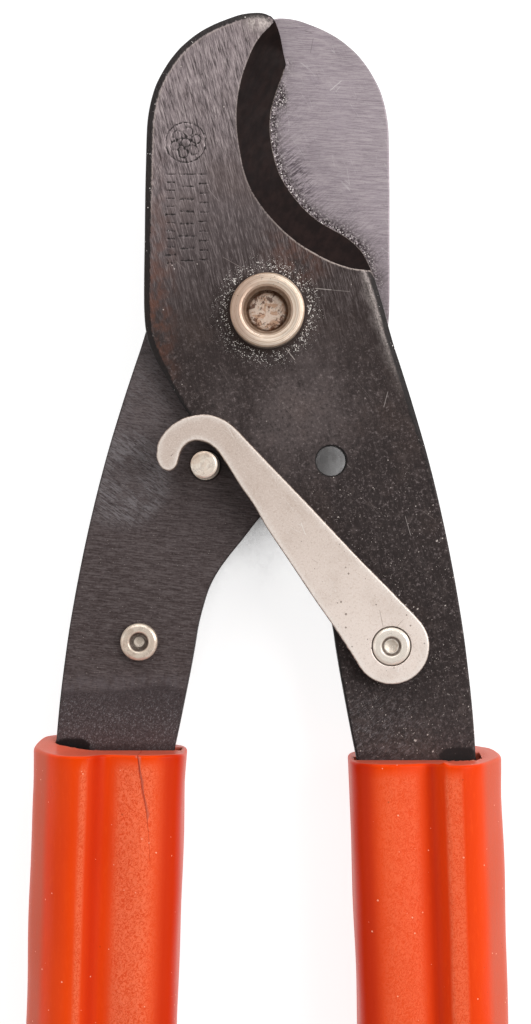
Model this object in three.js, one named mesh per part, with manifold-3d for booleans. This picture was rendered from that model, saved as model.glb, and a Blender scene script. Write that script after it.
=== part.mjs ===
// Two-hand cable cutter, lying closed and latched on its back.
// Millimetres. The origin is on the pivot axis, in the underside of the pivot
// bolt's head, which is the plane the tool lies on. +Y runs to the jaws, +X to
// the right-hand grip, +Z up out of the upper blade's face.
import * as THREE from 'three';
import { mergeVertices } from 'three/addons/utils/BufferGeometryUtils.js';
import Module from 'manifold-3d';

const wasm = await Module();
wasm.setup();

// ---------------------------------------------------------------- dimensions
const PLATE = 4.95;              // blade plate thickness
const Z_HEAD = 6.4;              // M10 hexagon head height
const Z_REAR = 8.6;              // back face of the rear blade
const Z_REAR_TOP = Z_REAR + PLATE;
const Z_FRONT = 13.65;           // back face of the front blade
const Z_FACE = Z_FRONT + PLATE;  // front face of the front blade, 18.6
const GRIP_DEPTH = 27.2;         // grips reach from the bench plane to here
const BARREL_R = 7.0;            // bearing barrel of the pivot nut
const BORE_R = 7.15;             // pivot bore in both blades
const NUT_R = 7.8;               // flange of the pivot nut
const NUT_TOP = 22.6;
const BOLT_R = 4.95;             // M10 shank
const BOLT_END = 19.0;
const HEX_AF = 17;
const LEVER_PIVOT = [25.9, -70.2];
const LEVER_BOTTOM = 19.4;
const LEVER_TOP = 22.4;
const STUD = [-13.2, -32.3];     // catch stud, in the rear blade
const STUD_R = 2.8;
const SPARE = [13.45, -31.4];    // same hole in the front blade, left open
const SPARE_R = 3.15;
const PLAIN = [-27.25, -69.8];   // plain screw in the rear blade
const SCREW_R = 3.95;            // socket screw head
const M5_R = 2.45;
const REAR_TURN = -0.75;         // the rear blade's set when latched, degrees
const GRIP_TOP_R = -95.4;        // upper end of the right grip
const GRIP_TOP_L = -93.0;
const GRIP_END = -491.0;
const TOOL_END = -497.0;         // 560 mm over all
const TONGUE_END = -165;         // tang's tongue inside the core tube

// centre line of a grip: leaves the tang at 2 degrees and bows gently inwards
const gripX = (y) => {
  const d = -93 - y;
  return 33.45 + 0.036 * d - 0.00006 * d * d;
};

// ------------------------------------------------------------------- helpers
const solid = (geometry) => {
  const g = geometry.clone();
  g.deleteAttribute('normal');
  g.deleteAttribute('uv');
  const m = mergeVertices(g, 1e-5);
  const index = m.index ? m.index.array : Uint32Array.from({ length: m.attributes.position.count }, (_, i) => i);
  return new wasm.Manifold(new wasm.Mesh({
    numProp: 3,
    vertProperties: new Float32Array(m.attributes.position.array),
    triVerts: new Uint32Array(index),
  }));
};

const geometryOf = (manifold) => {
  const mesh = manifold.getMesh();
  const g = new THREE.BufferGeometry();
  g.setAttribute('position', new THREE.BufferAttribute(new Float32Array(mesh.vertProperties), 3));
  g.setIndex(new THREE.BufferAttribute(new Uint32Array(mesh.triVerts), 1));
  g.computeVertexNormals();
  return g;
};

// a plate with the given outline (counter-clockwise or clockwise) from z0 to z1
const plate = (outline, z0, z1, holes = []) => {
  const shape = new THREE.Shape(outline.map(([x, y]) => new THREE.Vector2(x, y)));
  for (const [x, y, r, n = 32] of holes) {
    shape.holes.push(new THREE.Path(Array.from({ length: n }, (_, i) => {
      const a = (i / n) * Math.PI * 2;
      return new THREE.Vector2(x + r * Math.cos(a), y + r * Math.sin(a));
    })));
  }
  const g = new THREE.ExtrudeGeometry(shape, { depth: z1 - z0, bevelEnabled: false, curveSegments: 1 });
  g.translate(0, 0, z0);
  return g;
};

// a turned piece standing on (x, y): profile of [radius, z] pairs, axis to axis
const turned = (profile, x, y, segments = 32) => {
  const g = new THREE.LatheGeometry(profile.map(([r, z]) => new THREE.Vector2(r, z)), segments);
  g.rotateX(Math.PI / 2);
  g.translate(x, y, 0);
  return g;
};

const hexPoints = (x, y, af, turn = 0) => Array.from({ length: 6 }, (_, i) => {
  const a = turn + (i * Math.PI) / 3;
  return [x + (af / Math.sqrt(3)) * Math.cos(a), y + (af / Math.sqrt(3)) * Math.sin(a)];
});

const rotated = (points, degrees) => {
  const t = (degrees * Math.PI) / 180;
  return points.map(([x, y]) => [x * Math.cos(t) - y * Math.sin(t), x * Math.sin(t) + y * Math.cos(t)]);
};

const root = new THREE.Group();
const add = (name, geometry, colour, roughness, metalness) => {
  const mesh = new THREE.Mesh(geometry, new THREE.MeshStandardMaterial({ color: colour, roughness, metalness }));
  mesh.name = name;
  root.add(mesh);
};
const BLACK = 0x4b3f41;
const STEEL = 0xb5a6a8;
const NICKEL = 0xdac9bf;
const ORANGE = 0xf04a1c;

// -------------------------------------------------------------------- blades
// Both blades are cut from the same plate outline; the rear one is the front
// one turned over. Clockwise from the jaw tip.
const TIP = [[-1.96, 63.13], [-0.7, 62.98], [0.31, 62.6], [1.26, 61.76], [1.94, 60.64], [2.57, 59.15], [3.05, 57.38], [3.45, 55.53]];
const EDGE = [[3.98, 53.11], [3.3, 50.85], [2.67, 49.17], [2.04, 47.48], [1.54, 45.8], [1.07, 44.33], [0.78, 42.85], [0.61, 40.96], [0.61, 39.06], [0.74, 37.38], [0.99, 35.59], [1.39, 33.69], [1.94, 31.69], [2.63, 29.8], [3.62, 27.91], [4.8, 26.07], [6.15, 24.33], [7.6, 22.6], [9.2, 21.1], [10.8, 19.8], [12.57, 18.72], [14.59, 17.6], [16.88, 16.28], [18.74, 14.75]];
const RIGHT = [[20.04, 13.27], [20.84, 11.69], [21.66, 9.59], [22.57, 7.27], [23.37, 4.75], [24.15, 2.22], [24.9, -0.52], [25.8, -3.88], [26.9, -7.67], [28.0, -11.04], [29.07, -14.41], [30.13, -17.78], [31.14, -21.15], [33.09, -27.88], [34.86, -34.62], [36.46, -41.36], [37.91, -48.09], [39.22, -54.83], [40.4, -61.57], [41.45, -68.31], [42.29, -75.04], [43.03, -81.78], [43.6, -88.52], [43.94, -94.41]];
const INNER = [[18.88, -94.41], [17.68, -88.52], [16.4, -81.78], [15.16, -75.04], [14.5, -71.0], [13.83, -66.6], [12.7, -61.98], [11.62, -58.56], [9.85, -55.12], [7.46, -51.68], [4.72, -48.23], [2.12, -44.79]];
const LEFT = [[-16.7, -21.36], [-19.22, -17.46], [-21.45, -13.57], [-22.67, -11.57], [-23.79, -9.57], [-24.82, -7.04], [-25.56, -4.31], [-25.94, -0.52], [-26.02, 3.48], [-25.98, 9.17], [-25.87, 15.91], [-25.79, 22.64], [-25.71, 27.69], [-25.6, 31.91], [-25.5, 36.12], [-25.29, 40.12], [-24.86, 43.06], [-24.19, 45.8], [-23.52, 47.8], [-22.67, 49.59], [-21.71, 51.27], [-20.67, 52.92], [-19.77, 54.09], [-18.97, 55.06], [-18.17, 55.91], [-17.24, 56.75], [-16.21, 57.63], [-15.07, 58.49], [-13.81, 59.32], [-12.32, 60.14], [-10.49, 61.0], [-8.19, 61.88], [-5.45, 62.77]];

// the tang runs into the grip, steps in, and ends in a tongue on the grip's line
const tongue = (top) => {
  const out = [];
  for (const y of [top - 11, -125, -145, TONGUE_END + 4]) out.push([gripX(y) + 8, y]);
  out.push([gripX(TONGUE_END) + 5, TONGUE_END], [gripX(TONGUE_END) - 5, TONGUE_END]);
  for (const y of [TONGUE_END + 4, -145, -125, top - 11]) out.push([gripX(y) - 8, y]);
  return [[44.25, top - 5], [43.2, top - 8], ...out, [22.6, top - 9], [20.4, top - 6]];
};
const bladeOutline = (top) => [...TIP, ...EDGE, ...RIGHT, ...tongue(top), ...INNER, ...LEFT];

// ground bevel: everything above the surface ruled between BEVEL, on the face,
// and the cutting edge goes away
const BEVEL = [[2.57, 61.91], [1.3, 60.43], [-0.65, 58.94], [-2.46, 56.62], [-3.87, 53.69], [-4.86, 51.06], [-5.62, 48.54], [-6.19, 45.59], [-6.49, 43.06], [-6.55, 40.75], [-6.46, 38.43], [-6.21, 36.12], [-5.77, 33.38], [-4.97, 29.59], [-3.54, 25.8], [-2.38, 23.8], [-0.99, 21.8], [0.42, 20.05], [1.91, 18.43], [3.64, 16.71], [5.54, 15.11], [7.6, 13.63], [9.83, 12.33], [12.15, 11.06], [14.59, 10.01], [16.57, 9.38], [18.23, 8.96], [20.4, 8.64], [22.88, 8.43]];
const EDGE_LAND = 0.5;
const resample = (points, n) => {
  const curve = new THREE.CatmullRomCurve3(points.map(([x, y]) => new THREE.Vector3(x, y, 0)), false, 'centripetal');
  return curve.getSpacedPoints(n - 1).map((p) => [p.x, p.y]);
};
const bevelCutter = () => {
  const n = 26;
  const inner = resample(BEVEL, n);
  const outer = resample([[3.2, 61.4], [3.5, 57.5], [4.0, 53.11], ...EDGE.slice(1), [20.2, 13.1], [22.9, 8.3]], n);
  const position = [];
  const drop = PLATE - EDGE_LAND;
  inner.forEach(([ax, ay], i) => {
    const [bx, by] = outer[i];
    const d = Math.hypot(bx - ax, by - ay) || 1;
    const ux = (bx - ax) / d;
    const uy = (by - ay) / d;
    const out = 2.5;
    const lift = 1.2;
    const slope = drop / d;
    const shallow = Math.min(1, d / 5);     // runs out to nothing at both ends
    const low = Z_FACE - drop * shallow;
    position.push(
      ax - ux * (lift / slope) * 0.5, ay - uy * (lift / slope) * 0.5, Z_FACE + lift * 0.5 * shallow,
      bx + ux * out, by + uy * out, low - drop * shallow * (out / d),
      bx + ux * out, by + uy * out, Z_FACE + 3,
      ax - ux * (lift / slope) * 0.5, ay - uy * (lift / slope) * 0.5, Z_FACE + 3,
    );
  });
  const index = [];
  for (let i = 0; i < n - 1; i += 1) {
    for (let k = 0; k < 4; k += 1) {
      const a = i * 4 + k;
      const b = i * 4 + ((k + 1) % 4);
      index.push(a, b, a + 4, b, b + 4, a + 4);
    }
  }
  index.push(0, 2, 1, 0, 3, 2);
  const e = (n - 1) * 4;
  index.push(e, e + 1, e + 2, e, e + 2, e + 3);
  const g = new THREE.BufferGeometry();
  g.setAttribute('position', new THREE.Float32BufferAttribute(position, 3));
  g.setIndex(index);
  let m = new wasm.Manifold(new wasm.Mesh({
    numProp: 3,
    vertProperties: new Float32Array(g.attributes.position.array),
    triVerts: new Uint32Array(g.index.array),
  }));
  if (m.volume() < 0) {
    const flipped = [];
    for (let i = 0; i < index.length; i += 3) flipped.push(index[i], index[i + 2], index[i + 1]);
    m = new wasm.Manifold(new wasm.Mesh({ numProp: 3, vertProperties: new Float32Array(position), triVerts: new Uint32Array(flipped) }));
  }
  return m;
};

const makeBlade = (top, holes) => {
  const body = solid(plate(bladeOutline(top), Z_FRONT, Z_FACE, holes));
  return geometryOf(body.subtract(bevelCutter()));
};

add('front_blade', makeBlade(GRIP_TOP_R, [
  [0, 0, BORE_R, 48],
  [SPARE[0], SPARE[1], SPARE_R, 32],
  [LEVER_PIVOT[0], LEVER_PIVOT[1], M5_R + 0.15, 24],
  [gripX(-130), -130, 2.6, 20],
  [gripX(-152), -152, 2.6, 20],
]), BLACK, 0.45, 0.8);

// The rear blade is the front blade turned over about the Y axis, then set back
// by REAR_TURN. Its holes, and the tongue on the left grip's line, are given
// where they must come out, so they are first carried back to the plain outline.
const carryBack = (points) => rotated(points, -REAR_TURN).map(([x, y]) => [-x, y]);
{
  const at = ([x, y], r, n) => [...carryBack([[x, y]])[0], r, n];
  const outline = [
    ...TIP, ...EDGE, ...RIGHT.slice(0, -1),
    ...carryBack(tongue(GRIP_TOP_L).map(([x, y]) => [-x, y])),
    ...INNER.slice(1), ...LEFT,
  ];
  const blank = solid(plate(outline, Z_FRONT, Z_FACE, [
    [0, 0, BORE_R, 48],
    at(STUD, 3.15, 32),
    at(PLAIN, M5_R + 0.15, 24),
    at([-gripX(-130), -130], 2.6, 20),
    at([-gripX(-152), -152], 2.6, 20),
  ]));
  const g = geometryOf(blank.subtract(bevelCutter()));
  const p = g.attributes.position;
  const t = (REAR_TURN * Math.PI) / 180;
  for (let i = 0; i < p.count; i += 1) {
    const x = -p.getX(i);
    const y = p.getY(i);
    p.setXYZ(i, x * Math.cos(t) - y * Math.sin(t), x * Math.sin(t) + y * Math.cos(t), Z_REAR + Z_FACE - p.getZ(i));
  }
  g.computeVertexNormals();
  add('rear_blade', g, BLACK, 0.45, 0.8);
}

// ------------------------------------------------------------ pivot hardware
add('pivot_sleeve_nut', turned([
  [5.15, Z_REAR + 0.4], [BARREL_R - 0.4, Z_REAR + 0.4], [BARREL_R, Z_REAR + 0.8], [BARREL_R, Z_FACE + 0.05],
  [NUT_R, Z_FACE + 0.05], [NUT_R, NUT_TOP - 1.3], [NUT_R - 0.35, NUT_TOP - 0.5], [NUT_R - 1.2, NUT_TOP],
  [6.0, NUT_TOP], [5.3, NUT_TOP - 0.7], [5.15, NUT_TOP - 1.6], [5.15, Z_REAR + 0.4],
], 0, 0, 48), NICKEL, 0.3, 1);

{
  const head = solid(plate(hexPoints(0, 0, HEX_AF, Math.PI / 6), 0, Z_HEAD))
    .intersect(solid(turned([[0, 0], [8.1, 0], [9.9, 1.1], [9.9, Z_HEAD], [0, Z_HEAD]], 0, 0, 48)));
  const shank = solid(turned([[0, Z_HEAD - 1], [BOLT_R, Z_HEAD - 1], [BOLT_R, BOLT_END - 1.1], [BOLT_R - 1.1, BOLT_END], [0, BOLT_END]], 0, 0, 40));
  add('pivot_bolt', geometryOf(head.add(shank)), 0xbd9d8a, 0.45, 0.9);
}
{
  // split spring washer, one coil with a slanting gap
  const ring = solid(turned([[5.15, Z_HEAD + 0.05], [8.6, Z_HEAD + 0.05], [8.6, Z_REAR - 0.05], [5.15, Z_REAR - 0.05], [5.15, Z_HEAD + 0.05]], 0, 0, 40));
  const cut = new THREE.BoxGeometry(1.0, 6, 6);
  cut.rotateY(0.5);
  cut.translate(0, -7.5, (Z_HEAD + Z_REAR) / 2);
  add('pivot_spring_washer', geometryOf(ring.subtract(solid(cut))), 0x8d8a88, 0.4, 1);
}

// ---------------------------------------------------------------- lock lever
const LEVER = [[-23.05, -29.48], [-22.97, -28.23], [-22.32, -26.77], [-21.3, -25.35], [-19.98, -24.1], [-18.52, -23.14], [-16.92, -22.39], [-15.08, -21.97], [-13.21, -21.8], [-11.54, -21.97], [-9.87, -22.55], [-8.28, -23.39], [-6.7, -24.68], [-4.82, -26.64], [-1.57, -30.1], [8.48, -40.53], [17.87, -50.54], [27.67, -60.55], [32.33, -65.56], [33.37, -67.51], [33.83, -69.67], [33.67, -71.88], [32.92, -73.96], [31.62, -75.75], [29.87, -77.11], [27.82, -77.94], [25.62, -78.17], [23.44, -77.79], [21.45, -76.82], [19.81, -75.34], [18.63, -73.46], [14.32, -66.81], [9.94, -60.55], [4.94, -53.04], [-0.07, -45.54], [-2.99, -40.53], [-5.07, -37.61], [-7.2, -34.28], [-8.64, -31.98], [-9.6, -30.58], [-10.43, -29.37], [-11.39, -28.54], [-12.23, -27.94], [-13.41, -27.48], [-14.62, -27.27], [-16.08, -27.52], [-17.25, -28.35], [-17.96, -29.31], [-18.36, -30.31], [-18.59, -31.46], [-19.13, -32.82], [-19.75, -33.44], [-20.61, -33.65], [-21.76, -32.82]];
{
  const [lx, ly] = LEVER_PIVOT;
  const body = solid(plate(LEVER, LEVER_BOTTOM, LEVER_TOP, [[lx, ly, 2.75, 28]]));
  const sink = solid(turned([[0, LEVER_TOP - 1.9], [SCREW_R + 0.2, LEVER_TOP - 1.9], [SCREW_R + 0.2, LEVER_TOP + 1], [0, LEVER_TOP + 1]], lx, ly, 36));
  add('lock_lever', geometryOf(body.subtract(sink)), NICKEL, 0.35, 1);
}
const socketScrew = (x, y, top, headHeight, tip, hexTurn, headR = SCREW_R) => {
  const under = top - headHeight;
  const body = solid(turned([[0, tip], [M5_R - 0.4, tip], [M5_R, tip + 0.4], [M5_R, under], [headR, under], [headR, top - 0.4], [headR - 0.4, top], [0, top]], x, y, 32));
  const dish = solid(turned([[0, top - 0.7], [1.55, top - 0.7], [2.3, top + 0.05], [2.3, top + 1], [0, top + 1]], x, y, 24));
  const hex = solid(plate(hexPoints(x, y, 2.5, hexTurn), top - 1.6, top + 1));
  return geometryOf(body.subtract(dish).subtract(hex));
};
add('lock_lever_screw', socketScrew(LEVER_PIVOT[0], LEVER_PIVOT[1], 22.9, 2.3, 8.8, 0.2), NICKEL, 0.3, 1);
add('lock_lever_wave_washer', turned([[2.75, Z_FACE + 0.05], [5.6, Z_FACE + 0.05], [5.6, LEVER_BOTTOM - 0.05], [2.75, LEVER_BOTTOM - 0.05], [2.75, Z_FACE + 0.05]], LEVER_PIVOT[0], LEVER_PIVOT[1], 28), 0x9a9795, 0.4, 1);
const hexNut = (x, y, z0, z1, turn) => geometryOf(solid(plate(hexPoints(x, y, 8, turn), z0, z1, [[x, y, M5_R + 0.1, 24]]))
  .intersect(solid(turned([[0, z0], [4.1, z0], [4.7, z0 + 0.5], [4.7, z1 - 0.3], [4.4, z1], [0, z1]], x, y, 24))));
add('lock_lever_nut', hexNut(LEVER_PIVOT[0], LEVER_PIVOT[1], Z_FRONT - 4.05, Z_FRONT - 0.05, 0.3), 0xb9b2ac, 0.35, 1);

// ------------------------------------------------------ rear blade's fittings
add('catch_stud', turned([[0, Z_REAR], [3.05, Z_REAR], [3.05, Z_REAR_TOP], [STUD_R, Z_REAR_TOP], [STUD_R, 22.9], [STUD_R - 0.4, 23.3], [0, 23.3]], STUD[0], STUD[1], 32), NICKEL, 0.35, 1);
add('plain_socket_screw', socketScrew(PLAIN[0], PLAIN[1], Z_REAR_TOP + 2.35, 2.3, 3.9, Math.PI / 6), NICKEL, 0.3, 1);
add('plain_socket_screw_nut', hexNut(PLAIN[0], PLAIN[1], Z_REAR - 4.05, Z_REAR - 0.05, 0.1), 0xb9b2ac, 0.35, 1);

// -------------------------------------------------------------------- grips
// section across a right-hand grip: [offset to the outside, height]; a narrow
// high lobe outside, a groove, and a broad lobe inside, the same front and back
const TOP_SIDE = [[16.25, 13.6], [16.22, 16.6], [15.9, 19.2], [15.0, 21.6], [13.2, 23.7], [10.6, 25.4], [8.2, 26.6], [6.6, GRIP_DEPTH], [3.6, GRIP_DEPTH], [2.6, 26.8], [1.7, 25.8], [0.9, 24.8], [0.0, 24.3], [-1.4, 24.5], [-3.2, 25.1], [-5.4, 25.7], [-8.2, 25.9], [-10.8, 25.3], [-13.2, 23.8], [-15.0, 21.5], [-16.0, 18.6], [-16.25, 15.6]];
const SECTION = [...TOP_SIDE, ...TOP_SIDE.slice().reverse().filter(([, z]) => z !== 13.6).map(([x, z]) => [x, GRIP_DEPTH - z])];

// sweep a section of [offset outwards, height] along a grip's centre line
const sweep = (section, side, y0, y1, steps) => {
  const path = new THREE.CatmullRomCurve3(Array.from({ length: steps + 1 }, (_, i) => {
    const y = y0 + ((y1 - y0) * i) / steps;
    return new THREE.Vector3(side * gripX(y), y, 0);
  }));
  const shape = new THREE.Shape(section.map(([u, z]) => new THREE.Vector2(-z, side * u)));
  const g = new THREE.ExtrudeGeometry(shape, { steps, extrudePath: path, bevelEnabled: false, curveSegments: 1 });
  return g;
};
const flatTop = (geometry, side, y, keepBelow) => {
  const box = new THREE.BoxGeometry(60, 10, 60);
  box.translate(side * gripX(y), y + (keepBelow ? 5 : -5), 13.6);
  return solid(geometry).subtract(solid(box));
};
const rect = (x0, x1, z0, z1) => [[x0, z0], [x1, z0], [x1, z1], [x0, z1]];

const buildHandle = (name, side, top, tangZ) => {
  // tangZ is the back face of the tang plate in this grip
  const mid = tangZ + PLATE / 2;
  let grip = flatTop(sweep(SECTION, side, top + 3, GRIP_END - 3, 12), side, top, true);
  const endBox = new THREE.BoxGeometry(60, 10, 60);
  endBox.translate(side * gripX(GRIP_END), GRIP_END - 5, 13.6);
  grip = grip.subtract(solid(endBox));
  grip = grip.subtract(solid(sweep(rect(-10.8, 10.8, mid - 4.6, mid + 4.6), side, top + 6, GRIP_END - 6, 12)));
  // slot for the shoulders of the tang, and the pocket in front of its outer half
  const slot = new THREE.BoxGeometry(26.9, 24, PLATE + 0.5);
  slot.translate(side * 31.75, top, mid);
  const pocket = new THREE.BoxGeometry(8.6, 16, 4);
  pocket.translate(side * 40.9, top, tangZ + PLATE + 0.6);
  grip = grip.subtract(solid(slot)).subtract(solid(pocket));
  add(`${name}_grip`, geometryOf(grip), ORANGE, 0.5, 0);

  let tube = solid(sweep(rect(-10.5, 10.5, mid - 4.3, mid + 4.3), side, top - 14, GRIP_END + 7, 10));
  tube = tube.subtract(solid(sweep(rect(-8.3, 8.3, mid - 2.75, mid + 2.75), side, top - 10, GRIP_END + 1, 10)));
  for (const y of [-130, -152]) {
    tube = tube.subtract(solid(turned([[0, mid - 6], [2.6, mid - 6], [2.6, mid + 6], [0, mid + 6]], side * gripX(y), y, 20)));
  }
  add(`${name}_core_tube`, geometryOf(tube), 0x77787a, 0.5, 0.9);
  for (const [k, y] of [['upper', -130], ['lower', -152]]) {
    add(`${name}_${k}_tang_rivet`, turned([[0, mid - 4.5], [2.2, mid - 4.5], [2.45, mid - 4.2], [2.45, mid + 4.2], [2.2, mid + 4.5], [0, mid + 4.5]], side * gripX(y), y, 20), 0x9a9a9a, 0.4, 1);
  }

  // end plug: a flange with the grip's section and a spigot up the tube
  let plug = flatTop(sweep(SECTION, side, GRIP_END + 3, TOOL_END - 3, 2), side, GRIP_END - 0.1, true);
  const plugEnd = new THREE.BoxGeometry(60, 10, 60);
  plugEnd.translate(side * gripX(TOOL_END), TOOL_END - 5, 13.6);
  plug = plug.subtract(solid(plugEnd));
  plug = plug.add(solid(sweep(rect(-7.9, 7.9, mid - 2.4, mid + 2.4), side, GRIP_END + 25, TOOL_END + 2, 3)));
  add(`${name}_end_plug`, geometryOf(plug), ORANGE, 0.5, 0);
};
buildHandle('right', 1, GRIP_TOP_R, Z_FRONT);
buildHandle('left', -1, GRIP_TOP_L, Z_REAR);

export default root;
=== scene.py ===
import math

import bpy
import numpy as np
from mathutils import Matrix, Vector
from mathutils.geometry import delaunay_2d_cdt


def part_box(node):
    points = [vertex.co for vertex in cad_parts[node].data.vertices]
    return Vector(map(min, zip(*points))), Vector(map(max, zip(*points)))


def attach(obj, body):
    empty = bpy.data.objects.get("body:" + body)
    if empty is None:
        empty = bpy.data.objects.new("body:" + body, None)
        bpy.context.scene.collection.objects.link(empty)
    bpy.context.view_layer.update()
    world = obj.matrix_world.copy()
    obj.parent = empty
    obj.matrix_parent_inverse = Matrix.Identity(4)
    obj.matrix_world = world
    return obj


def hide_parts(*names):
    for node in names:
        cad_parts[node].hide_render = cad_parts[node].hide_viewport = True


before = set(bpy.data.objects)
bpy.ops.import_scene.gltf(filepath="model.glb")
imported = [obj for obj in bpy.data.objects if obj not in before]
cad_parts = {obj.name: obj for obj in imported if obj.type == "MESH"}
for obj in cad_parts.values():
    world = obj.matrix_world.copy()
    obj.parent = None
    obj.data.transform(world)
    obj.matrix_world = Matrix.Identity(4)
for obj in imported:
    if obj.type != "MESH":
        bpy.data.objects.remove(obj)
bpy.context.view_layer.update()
scene = bpy.context.scene
MM = 0.001

# ------------------------------------------------------------------ heights, mm
def box_mm(node):
    lo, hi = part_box(node)
    return np.array(lo) / MM, np.array(hi) / MM


FRONT_LO, FRONT_HI = box_mm("front_blade")
REAR_LO, REAR_HI = box_mm("rear_blade")
LEVER_LO, LEVER_HI = box_mm("lock_lever")
NUT_LO, NUT_HI = box_mm("pivot_sleeve_nut")
BOLT_LO, BOLT_HI = box_mm("pivot_bolt")
STUD_LO, STUD_HI = box_mm("catch_stud")
LSCREW_LO, LSCREW_HI = box_mm("lock_lever_screw")
PSCREW_LO, PSCREW_HI = box_mm("plain_socket_screw")
LGRIP_LO, LGRIP_HI = box_mm("left_grip")
RGRIP_LO, RGRIP_HI = box_mm("right_grip")
Z_FACE = FRONT_HI[2]
Z_FRONT = FRONT_LO[2]
Z_REAR_TOP = REAR_HI[2]
Z_REAR = REAR_LO[2]
FLIP = Z_REAR + Z_FACE
STUD = (STUD_LO[:2] + STUD_HI[:2]) / 2
LPIV = (LSCREW_LO[:2] + LSCREW_HI[:2]) / 2
PPIV = (PSCREW_LO[:2] + PSCREW_HI[:2]) / 2
SPARE = np.array([13.45, -31.4])
REAR_TURN = -0.75

# --------------------------------------------------------------- plane curves
TIP = [[-1.96, 63.13], [-0.7, 62.98], [0.31, 62.6], [1.26, 61.76], [1.94, 60.64], [2.57, 59.15], [3.05, 57.38], [3.45, 55.53]]
EDGE = [[3.98, 53.11], [3.3, 50.85], [2.67, 49.17], [2.04, 47.48], [1.54, 45.8], [1.07, 44.33], [0.78, 42.85], [0.61, 40.96], [0.61, 39.06], [0.74, 37.38], [0.99, 35.59], [1.39, 33.69], [1.94, 31.69], [2.63, 29.8], [3.62, 27.91], [4.8, 26.07], [6.15, 24.33], [7.6, 22.6], [9.2, 21.1], [10.8, 19.8], [12.57, 18.72], [14.59, 17.6], [16.88, 16.28], [18.74, 14.75]]
RIGHT = [[20.04, 13.27], [20.84, 11.69], [21.66, 9.59], [22.57, 7.27], [23.37, 4.75], [24.15, 2.22], [24.9, -0.52], [25.8, -3.88], [26.9, -7.67], [28.0, -11.04], [29.07, -14.41], [30.13, -17.78], [31.14, -21.15], [33.09, -27.88], [34.86, -34.62], [36.46, -41.36], [37.91, -48.09], [39.22, -54.83], [40.4, -61.57], [41.45, -68.31], [42.29, -75.04], [43.03, -81.78], [43.6, -88.52], [43.94, -94.41]]
INNER = [[18.88, -94.41], [17.68, -88.52], [16.4, -81.78], [15.16, -75.04], [14.5, -71.0], [13.83, -66.6], [12.7, -61.98], [11.62, -58.56], [9.85, -55.12], [7.46, -51.68], [4.72, -48.23], [2.12, -44.79]]
LEFT = [[-16.7, -21.36], [-19.22, -17.46], [-21.45, -13.57], [-22.67, -11.57], [-23.79, -9.57], [-24.82, -7.04], [-25.56, -4.31], [-25.94, -0.52], [-26.02, 3.48], [-25.98, 9.17], [-25.87, 15.91], [-25.79, 22.64], [-25.71, 27.69], [-25.6, 31.91], [-25.5, 36.12], [-25.29, 40.12], [-24.86, 43.06], [-24.19, 45.8], [-23.52, 47.8], [-22.67, 49.59], [-21.71, 51.27], [-20.67, 52.92], [-19.77, 54.09], [-18.97, 55.06], [-18.17, 55.91], [-17.24, 56.75], [-16.21, 57.63], [-15.07, 58.49], [-13.81, 59.32], [-12.32, 60.14], [-10.49, 61.0], [-8.19, 61.88], [-5.45, 62.77]]
BEVEL = [[2.1, 62.3], [1.3, 60.9], [-0.65, 58.94], [-2.46, 56.62], [-3.87, 53.69], [-4.86, 51.06], [-5.62, 48.54], [-6.19, 45.59], [-6.49, 43.06], [-6.55, 40.75], [-6.46, 38.43], [-6.21, 36.12], [-5.77, 33.38], [-4.97, 29.59], [-3.54, 25.8], [-2.38, 23.8], [-0.99, 21.8], [0.42, 20.05], [1.91, 18.43], [3.64, 16.71], [5.54, 15.11], [7.6, 13.63], [9.83, 12.33], [12.15, 11.06], [14.59, 10.01], [16.57, 9.38], [18.23, 8.96], [20.2, 8.75], [22.6, 8.6]]
LEVER = [[-23.05, -29.48], [-22.97, -28.23], [-22.32, -26.77], [-21.3, -25.35], [-19.98, -24.1], [-18.52, -23.14], [-16.92, -22.39], [-15.08, -21.97], [-13.21, -21.8], [-11.54, -21.97], [-9.87, -22.55], [-8.28, -23.39], [-6.7, -24.68], [-4.82, -26.64], [-1.57, -30.1], [8.48, -40.53], [17.87, -50.54], [27.67, -60.55], [32.33, -65.56], [33.37, -67.51], [33.83, -69.67], [33.67, -71.88], [32.92, -73.96], [31.62, -75.75], [29.87, -77.11], [27.82, -77.94], [25.62, -78.17], [23.44, -77.79], [21.45, -76.82], [19.81, -75.34], [18.63, -73.46], [14.32, -66.81], [9.94, -60.55], [4.94, -53.04], [-0.07, -45.54], [-2.99, -40.53], [-5.07, -37.61], [-7.2, -34.28], [-8.64, -31.98], [-9.6, -30.58], [-10.43, -29.37], [-11.39, -28.54], [-12.23, -27.94], [-13.41, -27.48], [-14.62, -27.27], [-16.08, -27.52], [-17.25, -28.35], [-17.96, -29.31], [-18.36, -30.31], [-18.59, -31.46], [-19.13, -32.82], [-19.75, -33.44], [-20.7, -33.66], [-21.6, -33.4], [-22.35, -32.72], [-22.88, -31.75], [-23.14, -30.6]]


def grip_x(y):
    d = -93.0 - y
    return 33.45 + 0.036 * d - 0.00006 * d * d


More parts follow.
